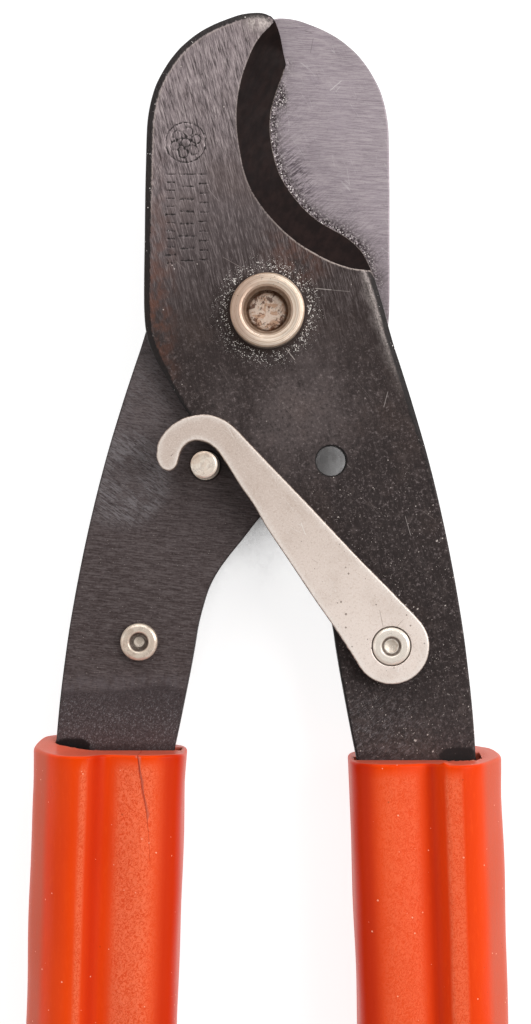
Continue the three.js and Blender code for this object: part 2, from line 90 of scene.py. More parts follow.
def catmull(points, closed=False, sub=12):
    """Centripetal Catmull-Rom through the points."""
    p = np.asarray(points, float)
    n = len(p)
    out = []
    for i in range(n if closed else n - 1):
        if closed:
            p0, p1, p2, p3 = p[(i - 1) % n], p[i], p[(i + 1) % n], p[(i + 2) % n]
        else:
            p1, p2 = p[i], p[i + 1]
            p0 = p[i - 1] if i else p1 + (p1 - p2)
            p3 = p[i + 2] if i + 2 < n else p2 + (p2 - p1)
        t0 = 0.0
        t1 = t0 + max(np.linalg.norm(p1 - p0), 1e-6) ** 0.5
        t2 = t1 + max(np.linalg.norm(p2 - p1), 1e-6) ** 0.5
        t3 = t2 + max(np.linalg.norm(p3 - p2), 1e-6) ** 0.5
        for k in range(sub):
            t = t1 + (t2 - t1) * k / sub
            a1 = (t1 - t) / (t1 - t0) * p0 + (t - t0) / (t1 - t0) * p1
            a2 = (t2 - t) / (t2 - t1) * p1 + (t - t1) / (t2 - t1) * p2
            a3 = (t3 - t) / (t3 - t2) * p2 + (t - t2) / (t3 - t2) * p3
            b1 = (t2 - t) / (t2 - t0) * a1 + (t - t0) / (t2 - t0) * a2
            b2 = (t3 - t) / (t3 - t1) * a2 + (t - t1) / (t3 - t1) * a3
            out.append((t2 - t) / (t2 - t1) * b1 + (t - t1) / (t2 - t1) * b2)
    if not closed:
        out.append(p[-1])
    return np.array(out)


def respace(line, step, closed=False, smooth=0.0):
    """Evenly spaced points on a polyline, optionally smoothed with its ends held."""
    p = np.asarray(line, float)
    if closed:
        p = np.vstack([p, p[:1]])
    s = np.concatenate([[0], np.cumsum(np.linalg.norm(np.diff(p, axis=0), axis=1))])
    n = max(2, int(round(s[-1] / step)))
    t = np.linspace(0, s[-1], n + 1)
    q = np.stack([np.interp(t, s, p[:, k]) for k in range(p.shape[1])], 1)
    if closed:
        q = q[:-1]
    if smooth > 0:
        sig = smooth / step
        k = int(4 * sig) + 1
        w = np.exp(-0.5 * (np.arange(-k, k + 1) / sig) ** 2)
        w /= w.sum()
        if closed:
            pad = np.vstack([q[-k:], q, q[:k]])
        else:
            pad = np.vstack([2 * q[0] - q[k:0:-1], q, 2 * q[-1] - q[-2 : -k - 2 : -1]])
        q = np.stack([np.convolve(pad[:, c], w, "valid") for c in range(q.shape[1])], 1)
        if not closed:
            q[0], q[-1] = p[0], p[-1]
    return q


def circle(c, r, n, start=0.0):
    a = start + np.arange(n) / n * 2 * math.pi
    return np.stack([c[0] + r * np.cos(a), c[1] + r * np.sin(a)], 1)


def area(p):
    x, y = p[:, 0], p[:, 1]
    return 0.5 * float(np.sum(x * np.roll(y, -1) - np.roll(x, -1) * y))


def inside(pts, poly):
    x, y = pts[:, 0][:, None], pts[:, 1][:, None]
    a, b = poly, np.roll(poly, -1, axis=0)
    out = np.zeros(len(pts), bool)
    for i in range(0, len(pts), 4000):
        xs, ys = x[i : i + 4000], y[i : i + 4000]
        c = (a[:, 1] > ys) != (b[:, 1] > ys)
        with np.errstate(divide="ignore", invalid="ignore"):
            xi = (b[:, 0] - a[:, 0]) * (ys - a[:, 1]) / (b[:, 1] - a[:, 1]) + a[:, 0]
        out[i : i + 4000] = (np.sum(c & (xs < xi), axis=1) % 2) == 1
    return out


def dist(pts, line, closed=False):
    """Distance to a polyline and the index of the nearest segment."""
    a = line if closed else line[:-1]
    b = np.roll(line, -1, axis=0) if closed else line[1:]
    ab = b - a
    l2 = np.maximum((ab**2).sum(1), 1e-12)
    d_out = np.empty(len(pts))
    i_out = np.empty(len(pts), int)
    for i in range(0, len(pts), 2000):
        p = pts[i : i + 2000]
        t = ((p[:, None, 0] - a[:, 0]) * ab[:, 0] + (p[:, None, 1] - a[:, 1]) * ab[:, 1]) / l2
        t = np.clip(t, 0, 1)
        dx = p[:, None, 0] - a[:, 0] - t * ab[:, 0]
        dy = p[:, None, 1] - a[:, 1] - t * ab[:, 1]
        d2 = dx * dx + dy * dy
        j = d2.argmin(1)
        d_out[i : i + 2000] = np.sqrt(d2[np.arange(len(p)), j])
        i_out[i : i + 2000] = j
    return d_out, i_out


def smoothstep(a, b, x):
    t = np.clip((np.asarray(x, float) - a) / (b - a), 0, 1)
    return t * t * (3 - 2 * t)


# -------------------------------------------------------------------- meshes
def make_object(name, verts, faces, material, body, replaces=(), sharp=32, attrs=None):
    me = bpy.data.meshes.new(name)
    me.from_pydata([tuple(float(c) * MM for c in v) for v in verts], [], [tuple(int(i) for i in f) for f in faces])
    me.validate()
    me.update()
    for p in me.polygons:
        p.use_smooth = True
    if attrs is not None:
        for key, values in attrs.items():
            v = np.asarray(values, float)
            if v.ndim == 1:
                a = me.attributes.new(key, "FLOAT", "POINT")
                a.data.foreach_set("value", v.astype(np.float32))
            else:
                a = me.attributes.new(key, "FLOAT_COLOR", "POINT")
                a.data.foreach_set("color", v.astype(np.float32).ravel())
    mark_sharp(me, sharp)
    me.materials.append(material)
    ob = bpy.data.objects.new(name, me)
    scene.collection.objects.link(ob)
    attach(ob, body)
    if replaces:
        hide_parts(*replaces)
    return ob


def mark_sharp(me, degrees):
    n = len(me.polygons)
    nor = np.empty(n * 3)
    me.polygons.foreach_get("normal", nor)
    nor = nor.reshape(-1, 3)
    count = np.empty(n, np.int32)
    me.polygons.foreach_get("loop_total", count)
    edge = np.empty(len(me.loops), np.int32)
    me.loops.foreach_get("edge_index", edge)
    face = np.repeat(np.arange(n), count)
    order = np.argsort(edge, kind="stable")
    e, f = edge[order], face[order]
    pair = np.nonzero(e[1:] == e[:-1])[0]
    dot = np.einsum("ij,ij->i", nor[f[pair]], nor[f[pair + 1]])
    flags = np.zeros(len(me.edges), bool)
    flags[e[pair[dot < math.cos(math.radians(degrees))]]] = True
    a = me.attributes.get("sharp_edge") or me.attributes.new("sharp_edge", "BOOLEAN", "EDGE")
    a.data.foreach_set("value", flags)


def outward(verts, faces):
    """The faces, turned so that they look outwards."""
    v = np.asarray(verts, float)
    tri = np.array([(q[0], q[i], q[i + 1]) for q in faces for i in range(1, len(q) - 1)])
    vol = np.einsum("ij,ij->", v[tri[:, 0]], np.cross(v[tri[:, 1]], v[tri[:, 2]]))
    return [q[::-1] for q in faces] if vol < 0 else faces


def plate_mesh(loops, z_bot_fn, z_top_fn, grid=1.6, dense=(), lines=(), rings=(0.07, 0.18, 0.35, 0.6, 0.95), jitter=7):
    """A plate between two height fields over the area inside loops[0] and outside the others.
    dense: (polygon, spacing) areas with finer points. lines: (polyline, closed) creases to follow.
    Returns verts, faces, xy, d, loop and index of the nearest outline point."""
    rng = np.random.default_rng(jitter)
    outer = loops[0] if area(loops[0]) > 0 else loops[0][::-1]
    holes = [h if area(h) < 0 else h[::-1] for h in loops[1:]]
    all_loops = [outer] + holes
    pts = [np.vstack(all_loops)]
    edges = []
    base = 0
    for lp in all_loops:
        n = len(lp)
        edges += [(base + i, base + (i + 1) % n) for i in range(n)]
        base += n
    n_outline = base

    def ok_mask(q, tol):
        keep = inside(q, outer)
        for h in holes:
            keep &= ~inside(q, h)
        d = np.full(len(q), 1e9)
        for lp in all_loops:
            d = np.minimum(d, dist(q, lp, True)[0])
        return keep & (d > tol)

    def ok(q, tol):
        return q[ok_mask(q, tol)] if len(q) else q

    extra = []
    for r in rings:
        for lp in all_loops:
            t = np.roll(lp, -1, axis=0) - np.roll(lp, 1, axis=0)
            t /= np.maximum(np.linalg.norm(t, axis=1, keepdims=True), 1e-9)
            q = lp + np.stack([-t[:, 1], t[:, 0]], 1) * r
            if r > 0.5:
                q = q[::2]
            extra.append(ok(q, r * 0.9))
    line_pts = []
    line_edges = []
    for ln, closed in lines:
        idx = np.nonzero(ok_mask(ln, 0.05))[0].tolist()
        start = sum(len(a) for a in line_pts)
        chosen = ln[idx]
        line_pts.append(chosen)
        for a in range(len(idx) - 1):
            if idx[a + 1] == idx[a] + 1:
                line_edges.append((start + a, start + a + 1))
        if closed and len(idx) == len(ln):
            line_edges.append((start + len(idx) - 1, start))
    lo, hi = outer.min(0), outer.max(0)
    rows = int((hi[1] - lo[1]) / (grid * 0.866)) + 1
    gx = []
    for j in range(rows):
        y = lo[1] + j * grid * 0.866
        xs = np.arange(lo[0] + (j % 2) * grid / 2, hi[0], grid)
        gx.append(np.stack([xs, np.full(len(xs), y)], 1))
    g = np.vstack(gx)
    g += rng.uniform(-0.12, 0.12, g.shape) * grid
    g = ok(g, max(rings) + grid * 0.35 if rings else grid * 0.4)
    for poly, step in dense:
        g = g[~inside(g, poly)]
        l2, h2 = poly.min(0), poly.max(0)
        gg = []
        for j in range(int((h2[1] - l2[1]) / (step * 0.866)) + 1):
            y = l2[1] + j * step * 0.866
            xs = np.arange(l2[0] + (j % 2) * step / 2, h2[0], step)
            gg.append(np.stack([xs, np.full(len(xs), y)], 1))
        gg = np.vstack(gg)
        gg += rng.uniform(-0.1, 0.1, gg.shape) * step
        gg = gg[inside(gg, poly)]
        g = np.vstack([g, ok(gg, (max(rings) if rings else 0) + step * 0.35)])
    if line_pts:
        lp_all = np.vstack(line_pts)
        for ln, closed in lines:
            d, _ = dist(g, ln, closed)
            g = g[d > 0.22]
            extra = [e[dist(e, ln, closed)[0] > 0.12] if len(e) else e for e in extra]
    else:
        lp_all = np.zeros((0, 2))
    extra = [e for e in extra if len(e)]
    all_pts = np.vstack([pts[0], lp_all] + extra + [g])
    edges += [(n_outline + a, n_outline + b) for a, b in line_edges]
    res = delaunay_2d_cdt([Vector((float(a), float(b))) for a, b in all_pts], edges, [], 1, 1e-5)
    xy = np.array([(v[0], v[1]) for v in res[0]])
    tris = np.array([f for f in res[2] if len(f) == 3], int)
    cen = xy[tris].mean(1)
    keep = inside(cen, outer)
    for h in holes:
        keep &= ~inside(cen, h)
    a2 = (xy[tris[:, 1]] - xy[tris[:, 0]])
    b2 = (xy[tris[:, 2]] - xy[tris[:, 0]])
    cr = a2[:, 0] * b2[:, 1] - a2[:, 1] * b2[:, 0]
    keep &= np.abs(cr) > 1e-9
    tris, cr = tris[keep], cr[keep]
    tris[cr < 0] = tris[cr < 0][:, ::-1]
    used = np.unique(tris)
    remap = -np.ones(len(xy), int)
    remap[used] = np.arange(len(used))
    xy = xy[used]
    tris = remap[tris]
    d = np.full(len(xy), 1e9)
    which = np.zeros(len(xy), int)
    at = np.zeros(len(xy), int)
    for k, lp in enumerate(all_loops):
        dd, ii = dist(xy, lp, True)
        m = dd < d
        d[m], which[m], at[m] = dd[m], k, ii[m]
    zt = z_top_fn(xy, d, which, at)
    zb = z_bot_fn(xy, d, which, at)
    n = len(xy)
    verts = np.vstack([np.column_stack([xy, zt]), np.column_stack([xy, zb])])
    faces = [tuple(t) for t in tris] + [(t[2] + n, t[1] + n, t[0] + n) for t in tris]
    count = {}
    for t in tris:
        for a, b in ((t[0], t[1]), (t[1], t[2]), (t[2], t[0])):
            count[(a, b)] = count.get((a, b), 0) + 1
    for (a, b) in list(count):
        if (b, a) not in count:
            faces.append((b, a, a + n, b + n))
    return verts, faces, xy, d, which, at, all_loops


def lathe(profile, c=(0, 0), seg=96, closed=False):
    """Turned solid; profile of (r, z), axis to axis or closed on itself."""
    prof = [tuple(map(float, p)) for p in profile]
    verts, faces, rows = [], [], []
    for r, z in prof:
        if r < 1e-6:
            rows.append([len(verts)])
            verts.append((c[0], c[1], z))
        else:
            rows.append(list(range(len(verts), len(verts) + seg)))
            for k in range(seg):
                a = 2 * math.pi * k / seg
                verts.append((c[0] + r * math.cos(a), c[1] + r * math.sin(a), z))
    pairs = list(zip(rows[:-1], rows[1:]))
    if closed:
        pairs.append((rows[-1], rows[0]))
    for a, b in pairs:
        if len(a) == 1 and len(b) == 1:
            continue
        for k in range(seg):
            k2 = (k + 1) % seg
            if len(a) == 1:
                faces.append((a[0], b[k2], b[k]))
            elif len(b) == 1:
                faces.append((a[k], a[k2], b[0]))
            else:
                faces.append((a[k], a[k2], b[k2], b[k]))
    return verts, faces


def arc(cx, cz, r, a0, a1, n=6):
    """Points on an arc in the (r, z) half-plane, degrees."""
    return [(cx + r * math.cos(math.radians(a0 + (a1 - a0) * i / n)), cz + r * math.sin(math.radians(a0 + (a1 - a0) * i / n))) for i in range(n + 1)]


def cut(ob, verts, faces):
    """Exact boolean difference, applied."""
    me = bpy.data.meshes.new("cutter")
    me.from_pydata([tuple(float(c) * MM for c in v) for v in verts], [], [tuple(f) for f in faces])
    me.validate()
    co = bpy.data.objects.new("cutter", me)
    scene.collection.objects.link(co)
    m = ob.modifiers.new("cut", "BOOLEAN")
    m.object = co
    m.operation = "DIFFERENCE"
    m.solver = "EXACT"
    bpy.context.view_layer.update()
    dg = bpy.context.evaluated_depsgraph_get()
    new = bpy.data.meshes.new_from_object(ob.evaluated_get(dg), preserve_all_data_layers=True, depsgraph=dg)
    ob.modifiers.remove(m)
    old = ob.data
    name = old.name
    ob.data = new
    bpy.data.meshes.remove(old)
    new.name = name
    bpy.data.objects.remove(co)
    bpy.data.meshes.remove(me)
    for p in new.polygons:
        p.use_smooth = True
    mark_sharp(new, 30)


def prism(points, z0, z1):
    n = len(points)
    verts = [(x, y, z0) for x, y in points] + [(x, y, z1) for x, y in points]
    faces = [tuple(range(n))[::-1], tuple(range(n, 2 * n))]
    faces += [(i, (i + 1) % n, (i + 1) % n + n, i + n) for i in range(n)]
    return verts, faces


def hexagon(c, af, turn):
    return [(c[0] + af / math.sqrt(3) * math.cos(turn + i * math.pi / 3), c[1] + af / math.sqrt(3) * math.sin(turn + i * math.pi / 3)) for i in range(6)]


# ------------------------------------------------------------------ materials
class Nodes:
    """Small helper to write node trees in few lines. Object coordinates come in millimetres."""

    def __init__(self, name):
        self.mat = bpy.data.materials.new(name)
        self.mat.use_nodes = True
        self.t = self.mat.node_tree
        self.t.nodes.clear()
        self.out = self.t.nodes.new("ShaderNodeOutputMaterial")
        self.bsdf = self.t.nodes.new("ShaderNodeBsdfPrincipled")
        self.t.links.new(self.bsdf.outputs[0], self.out.inputs[0])
        tc = self.t.nodes.new("ShaderNodeTexCoord")
        mp = self.t.nodes.new("ShaderNodeMapping")
        mp.inputs["Scale"].default_value = (1000, 1000, 1000)
        self.t.links.new(tc.outputs["Object"], mp.inputs[0])
        self.co = mp.outputs[0]

    def link(self, a, socket):
        if hasattr(a, "is_output"):
            self.t.links.new(a, socket)
        else:
            if socket.type == "RGBA" and not isinstance(a, (int, float)) and len(a) == 3:
                a = (*a, 1)
            socket.default_value = a

    def math(self, op, a, b=None, c=None, clamp=False):
        n = self.t.nodes.new("ShaderNodeMath")
        n.operation = op
        n.use_clamp = clamp
        self.link(a, n.inputs[0])
        if b is not None:
            self.link(b, n.inputs[1])
        if c is not None:
            self.link(c, n.inputs[2])
        return n.outputs[0]

    def map(self, x, a, b, lo=0.0, hi=1.0, smooth=True):
        n = self.t.nodes.new("ShaderNodeMapRange")
        n.interpolation_type = "SMOOTHSTEP" if smooth else "LINEAR"
        n.clamp = True
        self.link(x, n.inputs["Value"])
        for k, v in (("From Min", a), ("From Max", b), ("To Min", lo), ("To Max", hi)):
            n.inputs[k].default_value = v
        return n.outputs[0]

    def mix(self, f, a, b, mode="MIX"):
        n = self.t.nodes.new("ShaderNodeMix")
        n.data_type = "RGBA"
        n.blend_type = mode
        n.clamp_factor = True
        self.link(f, n.inputs[0])
        self.link(a, n.inputs[6])
        self.link(b, n.inputs[7])
        return n.outputs[2]

    def scaled(self, scale, rot=(0, 0, 0), loc=(0, 0, 0)):
        """Coordinates turned by rot first, then stretched."""
        src = self.co
        if any(rot) or any(loc):
            m = self.t.nodes.new("ShaderNodeMapping")
            m.inputs["Rotation"].default_value = rot
            m.inputs["Location"].default_value = loc
            self.t.links.new(src, m.inputs[0])
            src = m.outputs[0]
        n = self.t.nodes.new("ShaderNodeMapping")
        n.inputs["Scale"].default_value = scale
        self.t.links.new(src, n.inputs[0])
        return n.outputs[0]

    def noise(self, co=None, scale=1.0, detail=3.0, rough=0.5, distortion=0.0):
        n = self.t.nodes.new("ShaderNodeTexNoise")
        self.t.links.new(co or self.co, n.inputs["Vector"])
        n.inputs["Scale"].default_value = scale
        n.inputs["Detail"].default_value = detail
        n.inputs["Roughness"].default_value = rough
        n.inputs["Distortion"].default_value = distortion
        return n.outputs["Fac"]

    def voronoi(self, co=None, scale=1.0, feature="F1", out="Distance", rand=1.0):
        n = self.t.nodes.new("ShaderNodeTexVoronoi")
        n.feature = feature
        self.t.links.new(co or self.co, n.inputs["Vector"])
        n.inputs["Scale"].default_value = scale
        n.inputs["Randomness"].default_value = rand
        return n.outputs[out]

    def xyz(self, co=None):
        n = self.t.nodes.new("ShaderNodeSeparateXYZ")
        self.t.links.new(co or self.co, n.inputs[0])
        return n.outputs

    def attr(self, name):
        n = self.t.nodes.new("ShaderNodeAttribute")
        n.attribute_name = name
        return n

    def attr_rgb(self, name):
        a = self.attr(name)
        s = self.t.nodes.new("ShaderNodeSeparateColor")
        self.t.links.new(a.outputs["Color"], s.inputs[0])
        return s.outputs[0], s.outputs[1], s.outputs[2], a.outputs["Alpha"]

    def distance(self, x, y):
        """Distance in mm from (x, y) in the plane."""
        s = self.xyz()
        dx = self.math("SUBTRACT", s[0], float(x))
        dy = self.math("SUBTRACT", s[1], float(y))
        return self.math("SQRT", self.math("ADD", self.math("MULTIPLY", dx, dx), self.math("MULTIPLY", dy, dy)))

    def bump(self, height, strength=0.3, dist=0.1, normal=None):
        n = self.t.nodes.new("ShaderNodeBump")
        n.inputs["Strength"].default_value = strength
        n.inputs["Distance"].default_value = dist * MM
        self.link(height, n.inputs["Height"])
        if normal is not None:
            self.t.links.new(normal, n.inputs["Normal"])
        return n.outputs[0]

    def set(self, **kw):
        names = {"color": "Base Color", "metal": "Metallic", "rough": "Roughness", "normal": "Normal", "spec": "Specular IOR Level", "coat": "Coat Weight", "coat_rough": "Coat Roughness", "aniso": "Anisotropic"}
        for k, v in kw.items():
            self.link(v, self.bsdf.inputs[names[k]])
        return self.mat


def srgb(r, g, b):
    f = lambda c: (c / 255 / 12.92) if c / 255 <= 0.04045 else ((c / 255 + 0.055) / 1.055) ** 2.4
    return (f(r), f(g), f(b))


def specks(n, scale, threshold, mask, stretch=(1, 1, 1), rot=0.0):
    """Sparse bright points where mask is high."""
    co = n.scaled(stretch, (0, 0, rot))
    d = n.voronoi(co, scale)
    size = n.noise(co, scale * 0.37, 2.0, 0.6)
    lim = n.math("MULTIPLY", n.map(size, 0.40, 0.66, 0.0, threshold), mask)
    return n.math("LESS_THAN", d, lim)


def marks(n, s, base, lines, side=13.0):
    """Straight scratches, each (x0, y0, x1, y1, half width, colour, strength)."""
    for x0, y0, x1, y1, w, col, k in lines:
        ln = math.hypot(x1 - x0, y1 - y0)
        dx, dy = (x1 - x0) / ln, (y1 - y0) / ln
        px, py = n.math("SUBTRACT", s[0], x0), n.math("SUBTRACT", s[1], y0)
        along = n.math("ADD", n.math("MULTIPLY", px, dx), n.math("MULTIPLY", py, dy))
        off = n.math("ABSOLUTE", n.math("SUBTRACT", n.math("MULTIPLY", px, dy), n.math("MULTIPLY", py, dx)))
        m = n.math("MULTIPLY", n.map(off, w, w * 0.2), n.math("MULTIPLY", n.map(along, -0.1, 0.25), n.map(along, ln + 0.1, ln - 0.25)))
        base = n.mix(n.math("MULTIPLY", m, n.map(s[2], side - 0.5, side, 0.0, k)), base, srgb(*col))
    return base


def front_steel():
    n = Nodes("blackened_front")
    s = n.xyz()
    streak = n.noise(n.scaled((3.1, 0.22, 1.0), (0, 0, math.radians(-12))), 1.0, 4.0, 0.65)
    fine = n.noise(n.scaled((4.4, 0.38, 1.0), (0, 0, math.radians(-15))), 1.0, 4.0, 0.74)
    cloud = n.noise(None, 0.06, 4.0, 0.55)
    mottle = n.noise(None, 0.55, 5.0, 0.62)
    grit = n.noise(None, 1.7, 3.0, 0.75)
    low = n.map(s[1], 8.0, -20.0)
    # light at the top left of the head, dark by the bevel and towards the tang
    up = n.map(n.math("ADD", s[1], n.math("MULTIPLY", s[0], -0.55)), 2.0, 74.0)
    base = n.mix(up, srgb(44, 33, 31), srgb(144, 131, 133))
    base = n.mix(n.map(s[1], 2.0, -40.0), base, srgb(38, 28, 27))
    base = n.mix(n.math("MULTIPLY", n.map(s[1], -70.0, -92.0), 0.6), base, srgb(58, 48, 47))
    patch = n.math("MULTIPLY", n.map(n.distance(4.0, -20.0), 22.0, 6.0), n.map(cloud, 0.3, 0.6))
    base = n.mix(n.math("MULTIPLY", patch, 0.85), base, srgb(86, 76, 75))
    head = n.map(s[1], -10.0, 12.0, 0.15, 1.0)
    top = n.math("MULTIPLY", head, n.map(up, 0.15, 0.75, 0.42, 1.15))
    base = n.mix(n.math("MULTIPLY", n.map(streak, 0.46, 0.64), n.math("MULTIPLY", top, 0.30)), base, srgb(172, 158, 158))
    base = n.mix(n.math("MULTIPLY", n.map(streak, 0.52, 0.34), n.math("MULTIPLY", top, 0.40)), base, srgb(40, 30, 29))
    base = n.mix(n.math("MULTIPLY", n.map(fine, 0.50, 0.66), n.math("MULTIPLY", top, 0.66)), base, srgb(186, 173, 172))
    base = n.mix(n.math("MULTIPLY", n.map(fine, 0.50, 0.35), n.math("MULTIPLY", top, 0.74)), base, srgb(32, 23, 23))
    base = n.mix(n.math("MULTIPLY", n.map(cloud, 0.5, 0.7), 0.3), base, srgb(84, 68, 62))
    base = n.mix(n.math("MULTIPLY", n.map(mottle, 0.52, 0.74), n.map(low, 0.0, 1.0, 0.1, 0.34)), base, srgb(98, 86, 83))
    base = n.mix(n.math("MULTIPLY", n.map(mottle, 0.48, 0.30), n.map(low, 0.0, 1.0, 0.08, 0.4)), base, srgb(32, 24, 23))
    base = n.mix(n.math("MULTIPLY", n.map(grit, 0.54, 0.70), n.math("ADD", 0.12, n.math("MULTIPLY", low, 0.40))), base, srgb(134, 122, 121))
    base = n.mix(n.math("MULTIPLY", n.map(grit, 0.47, 0.33), n.math("MULTIPLY", low, 0.65)), base, srgb(24, 18, 17))
    hatch = n.noise(n.scaled((3.2, 1.0, 1.0), (0, 0, 0.85)), 1.0, 3.0, 0.75)
    base = n.mix(n.math("MULTIPLY", n.map(hatch, 0.5, 0.68), n.math("MULTIPLY", n.map(s[1], -76.0, -86.0), n.map(s[0], 36.0, 26.0, 0.1, 0.5))), base, srgb(130, 124, 126))
    # rust tint by the left edge and below the bevel
    rust_a = n.math("MULTIPLY", n.map(s[0], -17.0, -25.5), n.map(s[1], 42.0, -4.0))
    rust_b = n.map(n.distance(6.5, 12.5), 10.0, 2.0)
    rust = n.math("MULTIPLY", n.math("MAXIMUM", rust_a, n.math("MULTIPLY", rust_b, 0.5)), n.map(n.noise(n.scaled((1.0, 0.7, 1.0)), 0.42, 4.0, 0.65), 0.38, 0.64))
    base = n.mix(n.math("MULTIPLY", rust, 0.6), base, srgb(112, 66, 46))
    # painted shadow ring on the blade round the nut, wider to the lower left; bare points thrown up round the nut and
    # scattered on the tang
    r = n.distance(0, 0)
    nut_shadow_ring = n.math("MULTIPLY", n.map(r, 7.4, 7.6), n.map(n.distance(-0.4, -0.3), 9.3, 8.1))
    base = n.mix(n.math("MULTIPLY", nut_shadow_ring, 0.72), base, srgb(44, 31, 25))
    near = n.math("MULTIPLY", n.map(r, 8.0, 8.7), n.map(r, 14.5, 8.8))
    tang = n.map(s[1], -18.0, -46.0, 0.10, 0.75)
    sp = specks(n, 2.5, 0.36, near)
    sp = n.math("MAXIMUM", sp, specks(n, 3.9, 0.42, near))
    sp = n.math("MAXIMUM", sp, specks(n, 1.0, 0.24, n.math("MULTIPLY", tang, n.map(cloud, 0.35, 0.6, 0.5, 1.0)), (1, 0.7, 1), 0.7))
    sp = n.math("MAXIMUM", sp, n.math("MULTIPLY", specks(n, 1.7, 0.25, tang), 0.7))
    sp = n.math("MAXIMUM", sp, specks(n, 0.45, 0.08, 0.8))
    white = n.math("MULTIPLY", n.map(r, 16.0, 9.5), 0.14)
    base = n.mix(n.math("MULTIPLY", sp, n.math("ADD", 0.78, white)), base, n.mix(n.math("MULTIPLY", white, 5.5), srgb(206, 194, 187), srgb(255, 250, 244)))
    # darker band and near-black corner of the tang where it enters the grip
    base = n.mix(n.map(n.math("ADD", s[1], n.math("MULTIPLY", mottle, 1.6)), -91.2, -93.8, 0.0, 0.5), base, srgb(36, 27, 28))
    blotx = n.math("SUBTRACT", n.math("ABSOLUTE", n.math("SUBTRACT", s[0], 40.3)), n.math("MULTIPLY", mottle, 1.2))
    bloty = n.math("SUBTRACT", s[1], n.math("MULTIPLY", n.math("POWER", n.map(n.math("ABSOLUTE", n.math("SUBTRACT", s[0], 40.3)), 1.0, 4.6), 2.0), -1.6))
    base = n.mix(n.math("MULTIPLY", n.map(blotx, 3.7, 3.2), n.map(bloty, -91.3, -92.1, 0.0, 0.93)), base, srgb(17, 10, 11))
    # long light scratches
    scr = n.math("LESS_THAN", n.voronoi(n.scaled((0.035, 0.55, 1.0), (0, 0, 0.85), (3, 1, 0)), 1.0, "DISTANCE_TO_EDGE"), 0.006)
    base = n.mix(n.math("MULTIPLY", scr, n.map(n.noise(None, 0.16, 2.0, 0.5), 0.55, 0.68, 0.0, 0.4)), base, srgb(140, 128, 124))
    base = marks(n, s, base, [
        (10.0, 4.9, 13.6, 4.55, 0.11, (206, 196, 190), 0.6), (13.6, 4.55, 17.4, 4.2, 0.10, (190, 180, 174), 0.3), (3.9, -7.7, 5.8, -10.2, 0.13, (196, 186, 180), 0.75),
        (8.6, -0.6, 9.2, 0.9, 0.15, (255, 250, 244), 0.9), (24.5, -20.2, 25.4, -16.8, 0.1, (176, 166, 162), 0.6),
        (-9.4, 11.5, -5.2, 9.1, 0.1, (150, 138, 134), 0.5), (15.2, -30.5, 17.6, -33.0, 0.1, (150, 140, 136), 0.5),
        (29.0, -43.0, 30.2, -47.2, 0.1, (170, 160, 156), 0.6), (-12.6, 26.0, -10.2, 23.2, 0.09, (168, 156, 154), 0.5),
    ], side=18.0)
    # edge: dark rolled rim; bright lines of worn metal along the bevel and the cutting edge, plus a painted highlight
    # line just inside the rim at the top left; A is wear at the tip plus a painted highlight on the right side's
    # chamfer; B is the ground bevel
    rim, bright, bev, worn = n.attr_rgb("mask")
    torn = n.noise(n.scaled((2.2, 0.8, 1.0), (0, 0, math.radians(-14))), 1.0, 4.0, 0.7)
    rim = n.map(n.math("ADD", rim, n.math("MULTIPLY", n.math("SUBTRACT", torn, 0.5), 2.2)), 0.30, 0.62)
    base = n.mix(n.math("MULTIPLY", rim, 0.94), base, n.mix(n.map(torn, 0.50, 0.75), srgb(8, 4, 4), srgb(34, 25, 24)))
    glint = specks(n, 1.6, 0.24, n.math("MULTIPLY", rim, n.map(n.noise(None, 0.2, 2.0, 0.5), 0.45, 0.6)))
    base = n.mix(n.math("MULTIPLY", glint, 0.8), base, srgb(232, 224, 220))
    bev_col = n.mix(n.map(n.noise(n.scaled((1.2, 0.4, 1), (0, 0, 0.5)), 0.5, 4.0, 0.6), 0.35, 0.7), srgb(22, 13, 12), srgb(34, 22, 20))
    bev = n.map(bev, 0.04, 0.16)
    base = n.mix(bev, base, bev_col)
    chip = n.noise(None, 2.0, 4.0, 0.65)
    base = n.mix(n.math("MULTIPLY", n.math("MULTIPLY", bright, n.map(chip, 0.36, 0.52)), 0.85), base, srgb(206, 190, 182))
    # wear at the tip, plus a painted highlight along the chamfer of the right side
    wear_and_chamfer_sheen = n.math("MULTIPLY", worn, n.map(n.noise(n.scaled((2.6, 0.5, 1.0), (0, 0, -0.3)), 1.0, 4.0, 0.6), 0.26, 0.56))
    wear_and_chamfer_sheen = n.math("MULTIPLY", wear_and_chamfer_sheen, n.map(n.noise(None, 2.1, 3.0, 0.75), 0.38, 0.58, 0.35, 1.0))
    base = n.mix(n.math("MULTIPLY", wear_and_chamfer_sheen, 0.92), base, srgb(222, 210, 204))
    base = n.mix(n.math("MULTIPLY", n.math("SUBTRACT", 1.0, bev), 0.017), base, srgb(255, 248, 246))
    rough = n.map(mottle, 0.3, 0.7, 0.40, 0.52)
    rough = n.math("ADD", rough, n.math("MULTIPLY", bev, 0.12))
    h = n.math("ADD", n.math("MULTIPLY", streak, n.math("MULTIPLY", head, 0.5)), n.math("ADD", n.math("MULTIPLY", grit, 0.45), n.math("MULTIPLY", mottle, 0.5)))
    h = n.math("MULTIPLY", h, n.math("SUBTRACT", 1.0, n.math("MULTIPLY", bev, 0.8)))
    return n.set(color=base, metal=n.math("SUBTRACT", 0.25, n.math("MULTIPLY", bev, 0.15)), rough=rough, normal=n.bump(h, 0.5, 0.07), spec=0.10)


